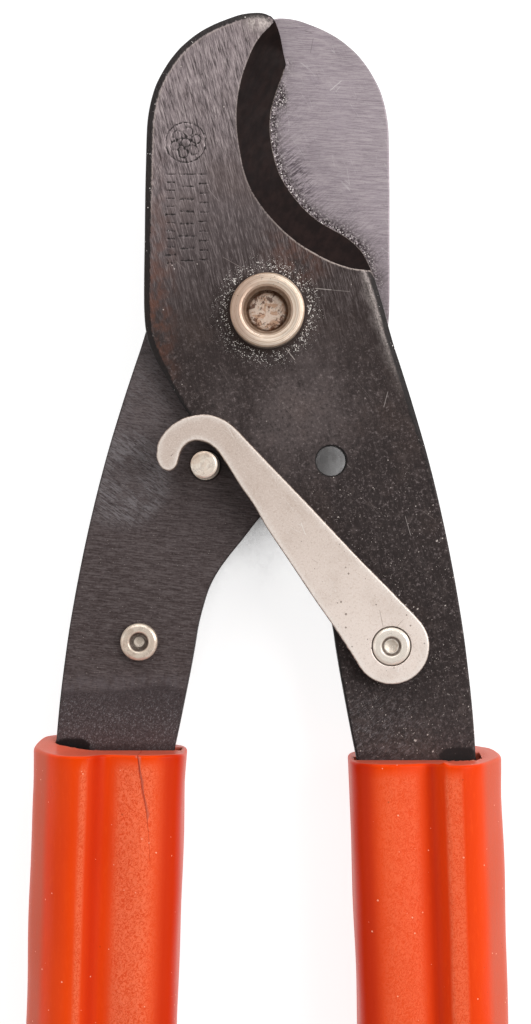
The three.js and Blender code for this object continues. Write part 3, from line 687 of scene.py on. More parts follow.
def rear_steel():
    n = Nodes("ground_and_blackened_rear")
    s = n.xyz()
    key = n.math("ADD", n.math("MULTIPLY", s[0], 0.3), s[1])
    head = n.map(key, -3.0, 2.0)
    brush = n.noise(n.scaled((0.3, 6.5, 1.0), (0, 0, 0.06)), 1.0, 4.0, 0.6)
    brush2 = n.noise(n.scaled((0.8, 12.0, 1.0), (0, 0, -0.12)), 1.0, 3.0, 0.6)
    cloud = n.noise(None, 0.09, 3.0, 0.5)
    grit = n.noise(n.scaled((0.8, 1.3, 1.0)), 2.2, 3.0, 0.72)
    bare = n.mix(n.map(brush, 0.36, 0.64), srgb(146, 134, 141), srgb(180, 168, 172))
    bare = n.mix(n.math("MULTIPLY", n.map(brush2, 0.45, 0.7), 0.4), bare, srgb(190, 180, 183))
    bare = n.mix(n.math("MULTIPLY", n.map(s[1], 22.0, -2.0), 0.6), bare, srgb(132, 120, 124))
    bare = n.mix(n.math("MULTIPLY", n.map(cloud, 0.5, 0.7), 0.2), bare, srgb(150, 140, 148))
    bare = n.mix(n.math("MULTIPLY", n.map(grit, 0.54, 0.72), 0.4), bare, srgb(116, 106, 112))
    scratch = n.math("LESS_THAN", n.voronoi(n.scaled((0.05, 1.1, 1.0), (0, 0, 1.12)), 1.0, "DISTANCE_TO_EDGE"), 0.010)
    bare = n.mix(n.math("MULTIPLY", scratch, n.map(n.noise(None, 0.2, 2.0, 0.5), 0.5, 0.6, 0.0, 0.45)), bare, srgb(206, 198, 200))
    bare = marks(n, s, bare, [
        (13.3, 47.6, 15.9, 49.8, 0.12, (214, 208, 208), 0.75), (14.6, 47.4, 15.6, 48.6, 0.09, (204, 198, 198), 0.6),
        (9.2, 55.6, 9.8, 58.9, 0.09, (112, 102, 108), 0.7), (7.9, 60.4, 9.6, 59.9, 0.09, (104, 94, 98), 0.7),
        (10.4, 51.4, 11.0, 50.2, 0.09, (120, 110, 114), 0.5), (25.0, 20.4, 26.2, 17.9, 0.09, (196, 188, 190), 0.45),
    ])
    # scuffed band where the other edge wipes past, R near it and A further out
    knurl, _, _, far = n.attr_rgb("mask")
    fine = n.noise(None, 2.2, 4.0, 0.75)
    cell = n.voronoi(None, 1.9)
    rad = n.noise(n.scaled((0.5, 3.6, 1.0), (0, 0, -0.62)), 1.0, 4.0, 0.7)
    bare = n.mix(n.math("MULTIPLY", far, n.map(rad, 0.44, 0.60)), bare, srgb(76, 66, 72))
    bare = n.mix(n.math("MULTIPLY", knurl, 0.35), bare, srgb(176, 164, 164))
    bare = n.mix(n.math("MULTIPLY", knurl, n.map(fine, 0.60, 0.47)), bare, srgb(52, 42, 44))
    bare = n.mix(n.math("MULTIPLY", n.math("POWER", knurl, 1.2), n.map(cell, 0.34, 0.16)), bare, srgb(232, 224, 220))
    # the tang
    tb = n.noise(n.scaled((0.45, 4.6, 1.0), (0, 0, 0.1)), 1.0, 5.0, 0.65)
    tang = n.mix(n.map(s[1], -6.0, -60.0), srgb(92, 82, 82), srgb(74, 63, 62))
    tang = n.mix(n.math("MULTIPLY", n.map(tb, 0.44, 0.64), 0.46), tang, srgb(118, 109, 109))
    tang = n.mix(n.math("MULTIPLY", n.map(tb, 0.52, 0.34), 0.52), tang, srgb(46, 37, 37))
    blob = n.math("MULTIPLY", n.map(n.distance(-31.0, -35.0), 12.5, 7.5), n.map(n.noise(None, 0.16, 3.0, 0.6), 0.34, 0.52, 0.25, 1.0))
    sc = n.noise(n.scaled((0.5, 3.4, 1.0), (0, 0, 0.62)), 1.0, 5.0, 0.7)
    tang = n.mix(n.math("MULTIPLY", blob, n.map(sc, 0.44, 0.60, 0.12, 0.8)), tang, srgb(128, 123, 125))
    tang = n.mix(n.math("MULTIPLY", blob, n.map(sc, 0.46, 0.36, 0.0, 0.6)), tang, srgb(44, 36, 38))
    high = n.math("MULTIPLY", n.map(s[1], -34.0, -14.0), n.map(sc, 0.46, 0.62, 0.0, 0.5))
    tang = n.mix(high, tang, srgb(124, 118, 120))
    line = n.math("ADD", s[1], n.math("MULTIPLY", n.noise(None, 0.09, 2.0, 0.5), 6.0))
    tang = n.mix(n.math("MULTIPLY", n.map(line, -72.5, -75.5, 0.0, 1.0), n.map(n.noise(n.scaled((1.2, 0.4, 1.0)), 0.6, 4.0, 0.6), 0.4, 0.62, 0.15, 0.7)), tang, srgb(96, 88, 90))
    tang = n.mix(n.math("MULTIPLY", n.map(line, -75.8, -77.4), 0.85), tang, srgb(62, 53, 54))
    tang = n.mix(n.math("MULTIPLY", n.map(s[1], -80.0, -92.0), 0.5), tang, srgb(78, 68, 68))
    sp = specks(n, 1.5, 0.22, n.map(s[1], -10.0, -60.0, 0.35, 0.55))
    tang = n.mix(n.math("MULTIPLY", sp, 0.6), tang, srgb(186, 176, 170))
    tang = n.mix(n.math("MULTIPLY", n.map(grit, 0.54, 0.70), 0.45), tang, srgb(118, 108, 107))
    tang = n.mix(n.math("MULTIPLY", n.map(grit, 0.46, 0.32), 0.5), tang, srgb(34, 26, 26))
    hatch = n.noise(n.scaled((2.6, 1.8, 1.0), (0, 0, 0.6)), 1.3, 2.0, 0.8)
    tang = n.mix(n.math("MULTIPLY", n.map(hatch, 0.52, 0.70), n.map(s[1], -78.0, -86.0, 0.0, 0.75)), tang, srgb(138, 134, 136))
    wob = n.noise(None, 0.55, 4.0, 0.6)
    tang = n.mix(n.map(n.math("ADD", s[1], n.math("MULTIPLY", wob, 1.6)), -90.0, -92.0, 0.0, 0.55), tang, srgb(34, 27, 28))
    off = n.math("ABSOLUTE", n.math("ADD", s[0], 41.6))
    blotx = n.math("SUBTRACT", off, n.math("MULTIPLY", wob, 1.2))
    bloty = n.math("ADD", s[1], n.math("MULTIPLY", n.math("POWER", n.map(off, 1.0, 4.6), 2.0), 1.5))
    tang = n.mix(n.math("MULTIPLY", n.map(blotx, 3.5, 3.0), n.map(bloty, -90.0, -90.8, 0.0, 0.93)), tang, srgb(17, 10, 11))
    base = n.mix(head, tang, bare)
    _, rim, bev, _ = n.attr_rgb("mask")
    base = n.mix(n.math("MULTIPLY", rim, n.math("SUBTRACT", 0.8, n.math("MULTIPLY", head, 0.5))), base, srgb(36, 29, 29))
    base = n.mix(bev, base, srgb(50, 38, 36))
    h = n.math("ADD", n.math("MULTIPLY", n.math("ADD", tb, brush), 0.45), n.math("MULTIPLY", grit, 0.4))
    h = n.math("ADD", h, n.math("MULTIPLY", knurl, n.math("MULTIPLY", fine, 2.2)))
    rough = n.map(cloud, 0.3, 0.7, 0.40, 0.50)
    return n.set(color=base, metal=n.map(head, 0.0, 1.0, 0.25, 0.55), rough=rough, normal=n.bump(h, 0.35, 0.07), spec=0.3)


def nickel(name, tint=(222, 205, 194), dark=(176, 154, 138)):
    n = Nodes(name)
    s = n.xyz()
    cloud = n.noise(None, 0.16, 4.0, 0.55)
    mott = n.noise(None, 1.7, 4.0, 0.68)
    fine = n.noise(None, 3.4, 3.0, 0.6)
    base = n.mix(n.map(s[1], -25.0, -76.0), n.mix(0.22, srgb(*tint), srgb(*dark)), srgb(246, 231, 221))
    base = n.mix(n.math("MULTIPLY", n.map(cloud, 0.45, 0.7), 0.22), base, srgb(*dark))
    base = n.mix(n.math("MULTIPLY", n.map(mott, 0.48, 0.7), 0.34), base, srgb(*dark))
    base = n.mix(n.math("MULTIPLY", n.map(fine, 0.5, 0.35), 0.3), base, srgb(255, 244, 236))
    low = n.map(s[1], -35.0, -70.0, 0.45, 1.0)
    base = n.mix(n.math("MULTIPLY", specks(n, 0.75, 0.20, low), 0.7), base, srgb(96, 72, 56))
    base = n.mix(n.math("MULTIPLY", specks(n, 1.9, 0.22, 0.8), 0.4), base, srgb(128, 106, 90))
    scr = n.math("LESS_THAN", n.voronoi(n.scaled((0.05, 0.6, 1.0), (0, 0, 0.9)), 1.0, "DISTANCE_TO_EDGE"), 0.006)
    base = n.mix(n.math("MULTIPLY", scr, n.map(cloud, 0.45, 0.6, 0.0, 0.5)), base, srgb(255, 248, 242))
    base = marks(n, s, base, [
        (7.0, -44.4, 8.0, -47.0, 0.1, (255, 250, 244), 0.7), (6.2, -44.6, 7.6, -45.2, 0.08, (255, 250, 244), 0.5),
        (9.2, -52.0, 10.6, -52.8, 0.08, (150, 128, 112), 0.5), (23.4, -62.6, 24.2, -66.4, 0.09, (96, 74, 60), 0.6),
        (-1.8, -32.0, 0.6, -29.4, 0.12, (240, 224, 212), 0.5), (28.4, -64.6, 26.2, -67.0, 0.08, (110, 88, 72), 0.5),
    ])
    rim, bright, lip, _ = n.attr_rgb("mask")
    edge = n.noise(None, 1.2, 3.0, 0.6)
    base = n.mix(n.math("MULTIPLY", rim, n.map(edge, 0.40, 0.58, 0.55, 0.95)), base, srgb(78, 56, 44))
    # painted highlight just inside the rim
    base = n.mix(n.math("MULTIPLY", bright, 0.55), base, srgb(255, 246, 238))
    base = n.mix(n.math("MULTIPLY", lip, 0.35), base, srgb(200, 182, 168))
    h = n.math("ADD", n.math("MULTIPLY", mott, 0.8), n.math("MULTIPLY", fine, 0.5))
    return n.set(color=base, metal=0.3, rough=n.map(mott, 0.3, 0.7, 0.34, 0.46), normal=n.bump(h, 0.25, 0.05), spec=0.5)


def turned_nickel(name, tint, dark, c, ring=0.7, rust=0.0, bands=(), aniso=0.0, metal=0.4, lean=None):
    """Turned work. bands: (r0, r1, colour, strength) rings of darker colour between two radii, stain in some and
    painted shade in others. lean: painted shade towards one side.
    """
    n = Nodes(name)
    r = n.distance(*c)
    w = n.t.nodes.new("ShaderNodeTexNoise")
    w.noise_dimensions = "1D"
    n.t.links.new(n.math("MULTIPLY", r, 3.6), w.inputs["W"])
    w.inputs["Scale"].default_value = 1.0
    w.inputs["Detail"].default_value = 4.0
    rings = w.outputs["Fac"]
    mott = n.noise(None, 1.0, 4.0, 0.6)
    fine = n.noise(None, 3.5, 3.0, 0.65)
    base = n.mix(n.math("MULTIPLY", n.map(rings, 0.42, 0.62), ring), srgb(*tint), srgb(*dark))
    base = n.mix(n.math("MULTIPLY", n.map(mott, 0.5, 0.72), 0.3), base, srgb(*dark))
    base = n.mix(n.math("MULTIPLY", n.map(fine, 0.56, 0.74), 0.3), base, srgb(*dark))
    if lean:
        # painted shade, darker towards one side: direction, reach, colour, strength
        (dx, dy), reach, col, k = lean
        s = n.xyz()
        along = n.math("ADD", n.math("MULTIPLY", n.math("SUBTRACT", s[0], c[0]), dx), n.math("MULTIPLY", n.math("SUBTRACT", s[1], c[1]), dy))
        base = n.mix(n.math("MULTIPLY", n.map(along, -0.25 * reach, reach), k), base, srgb(*col))
    if rust > 0:
        a = n.map(n.noise(None, 0.42, 5.0, 0.7, 0.8), 0.46, 0.56)
        b = n.map(n.noise(None, 0.52, 5.0, 0.74, 0.5), 0.52, 0.58)
        base = n.mix(n.math("MULTIPLY", a, 0.62 * rust), base, srgb(190, 130, 84))
        base = n.mix(n.math("MULTIPLY", b, 0.85 * rust), base, srgb(98, 56, 34))
    for r0, r1, col, k in bands:
        m = n.math("MULTIPLY", n.map(r, r0 - 0.12, r0 + 0.12), n.map(r, r1 + 0.12, r1 - 0.12))
        base = n.mix(n.math("MULTIPLY", m, n.map(mott, 0.3, 0.6, 0.75 * k, k)), base, srgb(*col))
    h = n.math("ADD", n.math("MULTIPLY", rings, 0.8), n.math("ADD", mott, n.math("MULTIPLY", fine, 0.5)))
    n.set(color=base, metal=metal, rough=n.map(mott, 0.3, 0.7, 0.27, 0.42), normal=n.bump(h, 0.3, 0.05), spec=0.5)
    if aniso:
        t = n.t.nodes.new("ShaderNodeTangent")
        t.direction_type = "RADIAL"
        t.axis = "Z"
        n.t.links.new(t.outputs[0], n.bsdf.inputs["Tangent"])
        n.set(aniso=aniso)
    return n.mat


def plain_metal(name, col, dark, rough=0.42, metal=0.8):
    n = Nodes(name)
    mott = n.noise(None, 0.8, 4.0, 0.6)
    streak = n.noise(n.scaled((2.5, 0.3, 2.5)), 1.0, 4.0, 0.6)
    base = n.mix(n.map(mott, 0.35, 0.7), srgb(*col), srgb(*dark))
    base = n.mix(n.math("MULTIPLY", n.map(streak, 0.5, 0.7), 0.3), base, srgb(*dark))
    return n.set(color=base, metal=metal, rough=n.map(mott, 0.3, 0.7, rough - 0.06, rough + 0.08), normal=n.bump(n.math("ADD", mott, streak), 0.25, 0.05))


def orange_plastic():
    n = Nodes("orange_grip_plastic")
    grain_and_sheen, groove, side, rim = n.attr_rgb("mask")
    # leather-like creases where the moulding is grained
    c1 = n.noise(n.scaled((1.0, 0.7, 1.0), (0, 0, 0.5)), 1.25, 2.0, 0.5, 1.5)
    crease = n.map(n.math("ABSOLUTE", n.math("SUBTRACT", c1, 0.5)), 0.0, 0.075)
    c2 = n.noise(None, 1.9, 3.0, 0.6)
    peb = n.math("ADD", n.math("MULTIPLY", crease, 0.5), n.math("MULTIPLY", c2, 0.7))
    cloud = n.noise(n.scaled((1, 0.22, 1)), 0.09, 4.0, 0.55)
    fine = n.noise(n.scaled((1.6, 0.35, 1.6)), 1.0, 3.0, 0.6)
    base = n.mix(n.map(cloud, 0.35, 0.7), srgb(234, 66, 0), srgb(226, 58, 0))
    base = n.mix(n.math("MULTIPLY", n.map(fine, 0.5, 0.75), 0.25), base, srgb(242, 84, 18))
    # painted shade: darker in the valley between the lobes and on the outer slope
    base = n.mix(n.math("MULTIPLY", groove, 0.8), base, srgb(190, 34, 0))
    # grained areas lighter: partly the grain's own whitening, partly a painted sheen on the lobes and a painted
    # highlight strip along the ridge
    base = n.mix(n.math("MULTIPLY", grain_and_sheen, 0.70), base, srgb(245, 106, 64))
    base = n.mix(n.math("MULTIPLY", n.math("MULTIPLY", n.math("POWER", grain_and_sheen, 2.0), n.map(peb, 0.55, 0.95)), 0.45), base, srgb(250, 136, 100))
    base = n.mix(n.math("MULTIPLY", n.math("MULTIPLY", n.math("POWER", grain_and_sheen, 2.2), n.map(crease, 0.7, 0.0)), 0.55), base, srgb(216, 58, 20))
    # painted reflection: dull pink on the flanks, standing in for the pale surroundings mirrored there
    base = n.mix(n.math("MULTIPLY", side, n.map(fine, 0.3, 0.7, 0.86, 1.0)), base, srgb(203, 88, 62))
    base = n.mix(n.math("MULTIPLY", rim, 0.7), base, srgb(206, 104, 84))
    s = n.xyz()
    base = marks(n, s, base, [
        (-26.85, -92.3, -26.3, -97.6, 0.16, (178, 44, 10), 0.85), (-26.3, -97.6, -25.2, -103.1, 0.15, (184, 48, 12), 0.8),
        (-25.2, -103.1, -24.6, -108.5, 0.13, (176, 48, 14), 0.7), (-24.6, -108.5, -24.3, -114.5, 0.11, (190, 52, 16), 0.55),
    ])
    speck = specks(n, 0.5, 0.12, 0.8)
    base = n.mix(n.math("MULTIPLY", speck, 0.75), base, srgb(255, 190, 160))
    dots = specks(n, 0.42, 0.10, 0.8)
    base = n.mix(n.math("MULTIPLY", dots, 0.4), base, srgb(150, 50, 20))
    h = n.math("ADD", n.math("MULTIPLY", peb, n.math("ADD", 0.10, n.math("MULTIPLY", grain_and_sheen, 0.9))), n.math("MULTIPLY", fine, 0.12))
    rough = n.math("ADD", 0.36, n.math("MULTIPLY", grain_and_sheen, 0.08))
    return n.set(color=base, metal=0.0, rough=rough, normal=n.bump(h, 0.55, 0.12), spec=0.08)


M_FRONT = front_steel()
M_REAR = rear_steel()
M_LEVER = nickel("nickel_lever")
# painted shade: the stud's top darker towards the upper left
M_STUD = turned_nickel("nickel_stud", (255, 244, 230), (206, 184, 164), STUD, 0.25, 0.25, (), 0.0, 0.35, ((-0.5, 0.86), 2.6, (204, 182, 162), 0.6))
# the nut: a darker ring in the bore; painted shade plus dirt on the ring at the outer edge; painted shade darker
# towards the left side
M_NUT = turned_nickel("nickel_nut", (255, 238, 220), (216, 186, 160), (0, 0), 0.9, 0.0, ((0.0, 5.02, (112, 84, 62), 0.85), (7.35, 9.0, (120, 92, 72), 0.5)), 0.6, 0.55, ((-0.94, 0.2), 6.5, (192, 156, 136), 0.7))
M_BOLT = turned_nickel("bolt_steel", (244, 222, 204), (206, 172, 148), (0, 0), 0.15, 1.0, ((3.86, 5.2, (116, 86, 64), 0.8),))
# the screws: a dark ring in the socket's chamfer and a painted shade ring round the head's edge
M_LSCREW = turned_nickel("nickel_lever_screw", (252, 242, 230), (206, 188, 170), LPIV, 0.3, 0.0, ((1.5, 2.05, (74, 56, 44), 0.92), (3.86, 4.5, (96, 78, 64), 0.7)))
M_PSCREW = turned_nickel("nickel_plain_screw", (240, 226, 210), (176, 152, 130), PPIV, 0.4, 0.2, ((1.1, 2.05, (58, 42, 34), 0.92), (3.86, 4.5, (96, 78, 64), 0.6)))
M_SPRING = plain_metal("spring_steel", (120, 116, 114), (84, 80, 78))
M_ZINC = plain_metal("zinc_plate", (190, 184, 176), (150, 142, 132), 0.36)
M_TUBE = plain_metal("tube_steel", (126, 126, 128), (88, 84, 82), 0.5)
M_GRIP = orange_plastic()

# ------------------------------------------------------------------- the blades
STEP = 0.45
run_a = respace(catmull(INNER + LEFT + TIP + [EDGE[0]]), STEP, smooth=0.45)
run_b = respace(catmull(EDGE + RIGHT), STEP, smooth=0.4)
bevel_line = respace(catmull(BEVEL), 0.45, smooth=0.5)


def tongue(top):
    end = -165.0
    out = [(grip_x(y) + 8, y) for y in (top - 11, -125, -145, end + 4)]
    out += [(grip_x(end) + 5, end), (grip_x(end) - 5, end)]
    out += [(grip_x(y) - 8, y) for y in (end + 4, -145, -125, top - 11)]
    return [(44.25, top - 5), (43.2, top - 8)] + out + [(22.6, top - 9), (20.4, top - 6)]


def carry_back(p):
    t = math.radians(-REAR_TURN)
    p = np.asarray(p, float)
    x = p[:, 0] * math.cos(t) - p[:, 1] * math.sin(t)
    y = p[:, 0] * math.sin(t) + p[:, 1] * math.cos(t)
    return np.stack([-x, y], 1)


def blade_outline(tongue_pts):
    tp = respace(np.array([run_b[-1]] + [tuple(p) for p in tongue_pts] + [run_a[0]]), 1.2)
    loop = np.vstack([run_a[:-1], run_b[:-1], tp[:-1]])
    kind = np.concatenate([np.zeros(len(run_a) - 1), np.ones(len(run_b) - 1), np.full(len(tp) - 1, 2.0)])
    if area(loop) < 0:
        loop, kind = loop[::-1], kind[::-1]
    return loop, kind


# the land runs from the tip's corner down the cutting edge and out along the right side
grind_outer = np.vstack([run_a[-22:], run_b[1:]])
cut_end = int(np.argmin(np.linalg.norm(run_b - np.array([22.75, 6.9]), axis=1)))
grind_edge = np.vstack([run_a[-24:], run_b[1:cut_end]])
grind_poly = np.vstack([bevel_line, grind_edge[::-1] + np.array([0.6, 0.0])])
DROP = (Z_FACE - Z_FRONT) - 0.5


def grind_height(xy):
    m = inside(xy, grind_poly)
    z = np.full(len(xy), Z_FACE)
    if m.any():
        p = xy[m]
        da, _ = dist(p, bevel_line)
        db, _ = dist(p, grind_edge)
        w = da + db
        t = da / np.maximum(w, 1e-6)
        drop = DROP * np.minimum(1.0, w / 5.2)
        z[m] = Z_FACE - drop * t - 0.22 * 4 * t * (1 - t) * np.minimum(1, w / 5)
    return z, m


def rounding(d, w, h):
    x = np.clip((w - d) / np.maximum(w, 1e-6), 0, 1)
    return h * (1 - np.sqrt(np.maximum(0, 1 - x * x)))


def stamp_strokes():
    """A generic mark: the cut end of a stranded cable, and rows of plain graduations."""
    out = []
    c = np.array([-17.2, 35.6])
    out.append((circle(c, 4.2, 56), True))
    out.append((circle(c, 0.95, 18), True))
    for k in range(6):
        a = k * math.pi / 3 + 0.3
        out.append((circle(c + 2.35 * np.array([math.cos(a), math.sin(a)]), 0.95, 18), True))
    for x, half, pitch, n in ((-13.2, 1.0, 2.0, 10), (-16.9, 1.35, 2.6, 8), (-20.4, 0.75, 1.7, 12)):
        for k in range(n):
            y = 28.9 - k * pitch
            w = half if k % 5 else half * 1.25
            out.append((respace([[x - w, y], [x + w, y]], 0.5), False))
    return out


STROKES = stamp_strokes()


def stamp_depth(xy):
    lo = np.array([-24, 8]); hi = np.array([-12.5, 42])
    m = np.all((xy > lo) & (xy < hi), axis=1)
    z = np.zeros(len(xy))
    if m.any():
        d = np.full(m.sum(), 9.0)
        for ln, closed in STROKES:
            d = np.minimum(d, dist(xy[m], ln, closed)[0])
        z[m] = 0.16 * (1 - smoothstep(0.06, 0.30, d))
    return z


front_loop = None


def scuff(xy):
    """Rough band on the rear blade's inner face, outside the front blade's edge: near, far."""
    back = respace(catmull(EDGE + RIGHT[:8]), 0.4)
    kd, _ = dist(xy, carry_back(back))
    at_rest = carry_back(xy)
    span = smoothstep(50.0, 45.0, at_rest[:, 1]) * smoothstep(4.0, 9.0, at_rest[:, 1])
    near = np.clip(np.exp(-((kd / 1.7) ** 2)) * 1.3, 0, 1) * (0.3 + 0.7 * span)
    chunk = np.exp(-(((at_rest[:, 0] - 3.0 + 0.12 * (at_rest[:, 1] - 46.5)) / 1.25) ** 4) - (((at_rest[:, 1] - 46.6) / 3.1) ** 4))
    near = np.maximum(near, chunk)
    far = np.exp(-kd / 3.4) * span * 0.9
    far = np.maximum(far, 1.1 * np.exp(-(((at_rest[:, 0] - 6.6 + 0.45 * (at_rest[:, 1] - 29.0)) / 2.6) ** 2) - (((at_rest[:, 1] - 29.0) / 7.5) ** 2)))
    out = ~inside(at_rest, front_loop)
    h = np.modf(np.sin(xy[:, 0] * 12.9898 + xy[:, 1] * 78.233) * 43758.5453)[0]
    # pits cut into the face; the small proud patch stays inside the 0.1 mm gap between the blades
    lump = (0.05 * chunk - 0.17 * near * np.abs(h)) * smoothstep(0.1, 0.3, kd) * out
    return near, far, lump


def blade(name, node, tongue_pts, holes, hole_r, body, material, stamped, flip):
    global front_loop
    loop, kind = blade_outline(tongue_pts)
    if not flip:
        front_loop = loop
    hole_loops = [circle(c, r, max(24, int(2 * math.pi * r / 0.45))) for c, r in zip(holes, hole_r)]

    def widths(xy, which, at):
        """Width and depth of the rounded rim on the face side, by place along the outline."""
        w = np.full(len(xy), 0.42)
        h = np.full(len(xy), 0.36)
        k = np.where(which == 0, kind[np.clip(at, 0, len(kind) - 1)], 3)
        a = (k == 0) & (xy[:, 1] > -24)
        f = smoothstep(-24, -6, xy[:, 1])
        w = np.where(a, 0.42 + 0.95 * f, w)
        h = np.where(a, 0.36 + 0.42 * f, h)
        b = (k == 1) & (xy[:, 1] < 8.7)
        g = smoothstep(-40, -4, xy[:, 1])
        w = np.where(b, 0.42 + 1.8 * g, w)
        h = np.where(b, 0.36 + 0.62 * g, h)
        c = (k == 1) & (xy[:, 1] >= 8.7)
        w = np.where(c, 0.16, w)
        h = np.where(c, 0.12, h)
        tipm = (k == 0) & (xy[:, 0] > 0.4) & (xy[:, 1] > 50)
        w = np.where(tipm, 0.3, w)
        h = np.where(tipm, 0.2, h)
        hh = which > 0
        w = np.where(hh, 0.3, w)
        h = np.where(hh, 0.22, h)
        return w, h

    def top(xy, d, which, at):
        z, _ = grind_height(xy)
        w, h = widths(xy, which, at)
        room = np.maximum(z - Z_FRONT - 0.2, 0.05)
        z = z - rounding(d, w, np.minimum(h, room))
        if stamped:
            z = z - stamp_depth(xy)
        return z

    def bottom(xy, d, which, at):
        k = np.where(which == 0, kind[np.clip(at, 0, len(kind) - 1)], 3)
        sharp = (k == 1) & (xy[:, 1] >= 8.7)
        w = np.where(sharp, 0.05, 0.32)
        h = np.where(sharp, 0.03, 0.26)
        return Z_FRONT + rounding(d, w, h) - (scuff(xy)[2] if flip else 0.0)

    bt = np.gradient(bevel_line, axis=0)
    bt /= np.linalg.norm(bt, axis=1, keepdims=True)
    bn = np.stack([bt[:, 1], -bt[:, 0]], 1)
    if np.mean(bn[:, 0]) > 0:
        bn = -bn
    lines = [(bevel_line, False), (bevel_line + bn * 0.12, False), (bevel_line + bn * 0.34, False), (bevel_line - bn * 0.1, False)]
    dense = [(np.array(grind_poly), 0.8)]
    if stamped:
        for ln, closed in STROKES:
            lines.append((ln, closed))
        dense.append((np.array([[-23.6, 7.5], [-12.2, 7.5], [-12.2, 42.2], [-23.6, 42.2]]), 0.33))
    rings = (0.05, 0.12, 0.22, 0.38, 0.62, 0.95, 1.22, 1.45, 1.75, 2.2)
    if flip:
        # finer points on the shear face where the other blade's edge wipes
        wipe = respace(catmull(EDGE), 0.8)
        wipe = carry_back(np.asarray(wipe))
        band = np.vstack([wipe + [-2.6, 0.6], (wipe + [2.2, -0.6])[::-1]])
        dense.append((band, 0.45))
    verts, faces, xy, d, which, at, loops = plate_mesh([loop] + hole_loops, bottom, top, grid=1.7, dense=dense, lines=lines, rings=rings)
    n = len(xy)
    w, h = widths(xy, which, at)
    _, gm = grind_height(xy)
    db, _ = dist(xy, bevel_line)
    k = np.where(which == 0, kind[np.clip(at, 0, len(kind) - 1)], 3)
    if not flip:
        rim = smoothstep(1.22, 0.66, d / np.maximum(w, 0.3))
        side = (k == 1) & (xy[:, 1] < 8.7)
        rim = np.where(side, smoothstep(1.5, 0.95, d) * smoothstep(12.0, 4.0, xy[:, 1]) * smoothstep(-60, -10, xy[:, 1]) * 0.9, rim)
        # painted highlight: a thin light line just inside the rounded rim at the top left of the head
        inner = np.exp(-(((d - w - 0.12) / 0.16) ** 2)) * (k == 0) * smoothstep(14, 30, xy[:, 1]) * smoothstep(-4, -10, xy[:, 0]) * 0.55
        edge_d, _ = dist(xy, run_b[: cut_end])
        wear = 0.35 + 0.65 * smoothstep(22, 10, xy[:, 1])
        line = np.where(gm, 1 - smoothstep(0.0, 0.09, db), 1 - smoothstep(0.03, 0.3, db)) * (xy[:, 1] < 58) * wear
        burr = (1 - smoothstep(0.0, 0.16, edge_d)) * (xy[:, 1] < 52) * 0.6
        # painted highlight along the rounded chamfer of the right side
        cham = np.where(side, smoothstep(1.0, 1.45, d) * smoothstep(2.5, 1.9, d) * smoothstep(-22, 4, xy[:, 1]), 0) * 0.5
        bright = np.clip(np.maximum(np.maximum(line, burr), inner), 0, 1)
        chamfer_highlight = cham
        worn = 1.5 * np.exp(-(((xy[:, 0] + 1.4 + 0.25 * (xy[:, 1] - 60.4)) / 2.3) ** 2 + ((xy[:, 1] - 60.6) / 1.25) ** 2)) * (~gm) * smoothstep(0.5, 1.2, d)
        groove = stamp_depth(xy) / 0.16 if stamped else np.zeros(n)
        bev = gm.astype(float) * smoothstep(0.0, 0.12, db)
        top_mask = np.stack([np.clip(np.maximum(rim, 0.6 * groove), 0, 1), bright, bev, np.clip(np.maximum(worn, chamfer_highlight), 0, 1)], 1)
        bot_mask = np.stack([1 - smoothstep(0.0, 0.5, d), np.zeros(n), np.zeros(n), np.zeros(n)], 1)
    else:
        kn, far, _ = scuff(xy)
        rimb = 1 - smoothstep(0.0, 0.5, d)
        z0 = np.zeros(n)
        top_mask = np.stack([z0, rimb, gm.astype(float), z0], 1)
        bot_mask = np.stack([np.clip(kn, 0, 1), rimb, z0, np.clip(far, 0, 1)], 1)
    if flip:
        t = math.radians(REAR_TURN)
        x, y = -verts[:, 0], verts[:, 1]
        verts = np.column_stack([x * math.cos(t) - y * math.sin(t), x * math.sin(t) + y * math.cos(t), FLIP - verts[:, 2]])
    return make_object(name, verts, faces, material, body, (node,), 24, {"mask": np.vstack([top_mask, bot_mask])})


blade("front_blade_plate", "front_blade", tongue(-95.4), [(0, 0), SPARE, LPIV, (grip_x(-130), -130), (grip_x(-152), -152)], [7.15, 3.15, 2.6, 2.6, 2.6], "front_half", M_FRONT, True, False)
blade(
    "rear_blade_plate", "rear_blade", carry_back([(-x, y) for x, y in tongue(-93.0)]),
    [tuple(carry_back([p])[0]) for p in ((0, 0), STUD, PPIV, (-grip_x(-130), -130), (-grip_x(-152), -152))],
    [7.15, 3.15, 2.6, 2.6, 2.6], "rear_half", M_REAR, False, True,
)

# -------------------------------------------------------------------- the lever
lever_line = respace(catmull(LEVER, True), 0.42, True, 0.42)
LEVER_Z0, LEVER_Z1 = LEVER_LO[2], LEVER_HI[2]
SEAT_R, SEAT_Z = 4.15, LEVER_Z1 - 1.9


def lever_top(xy, d, which, at):
    r = np.hypot(xy[:, 0] - LPIV[0], xy[:, 1] - LPIV[1])
    z = LEVER_Z1 - np.where(which == 0, rounding(d, 0.42, 0.34), 0.0)
    z = z - np.where(r >= SEAT_R - 0.005, rounding(r - SEAT_R, 0.22, 0.18), 0.0)
    return np.where(r < SEAT_R - 0.005, SEAT_Z, z)


def lever_bottom(xy, d, which, at):
    return LEVER_Z0 + rounding(d, 0.25, 0.2)


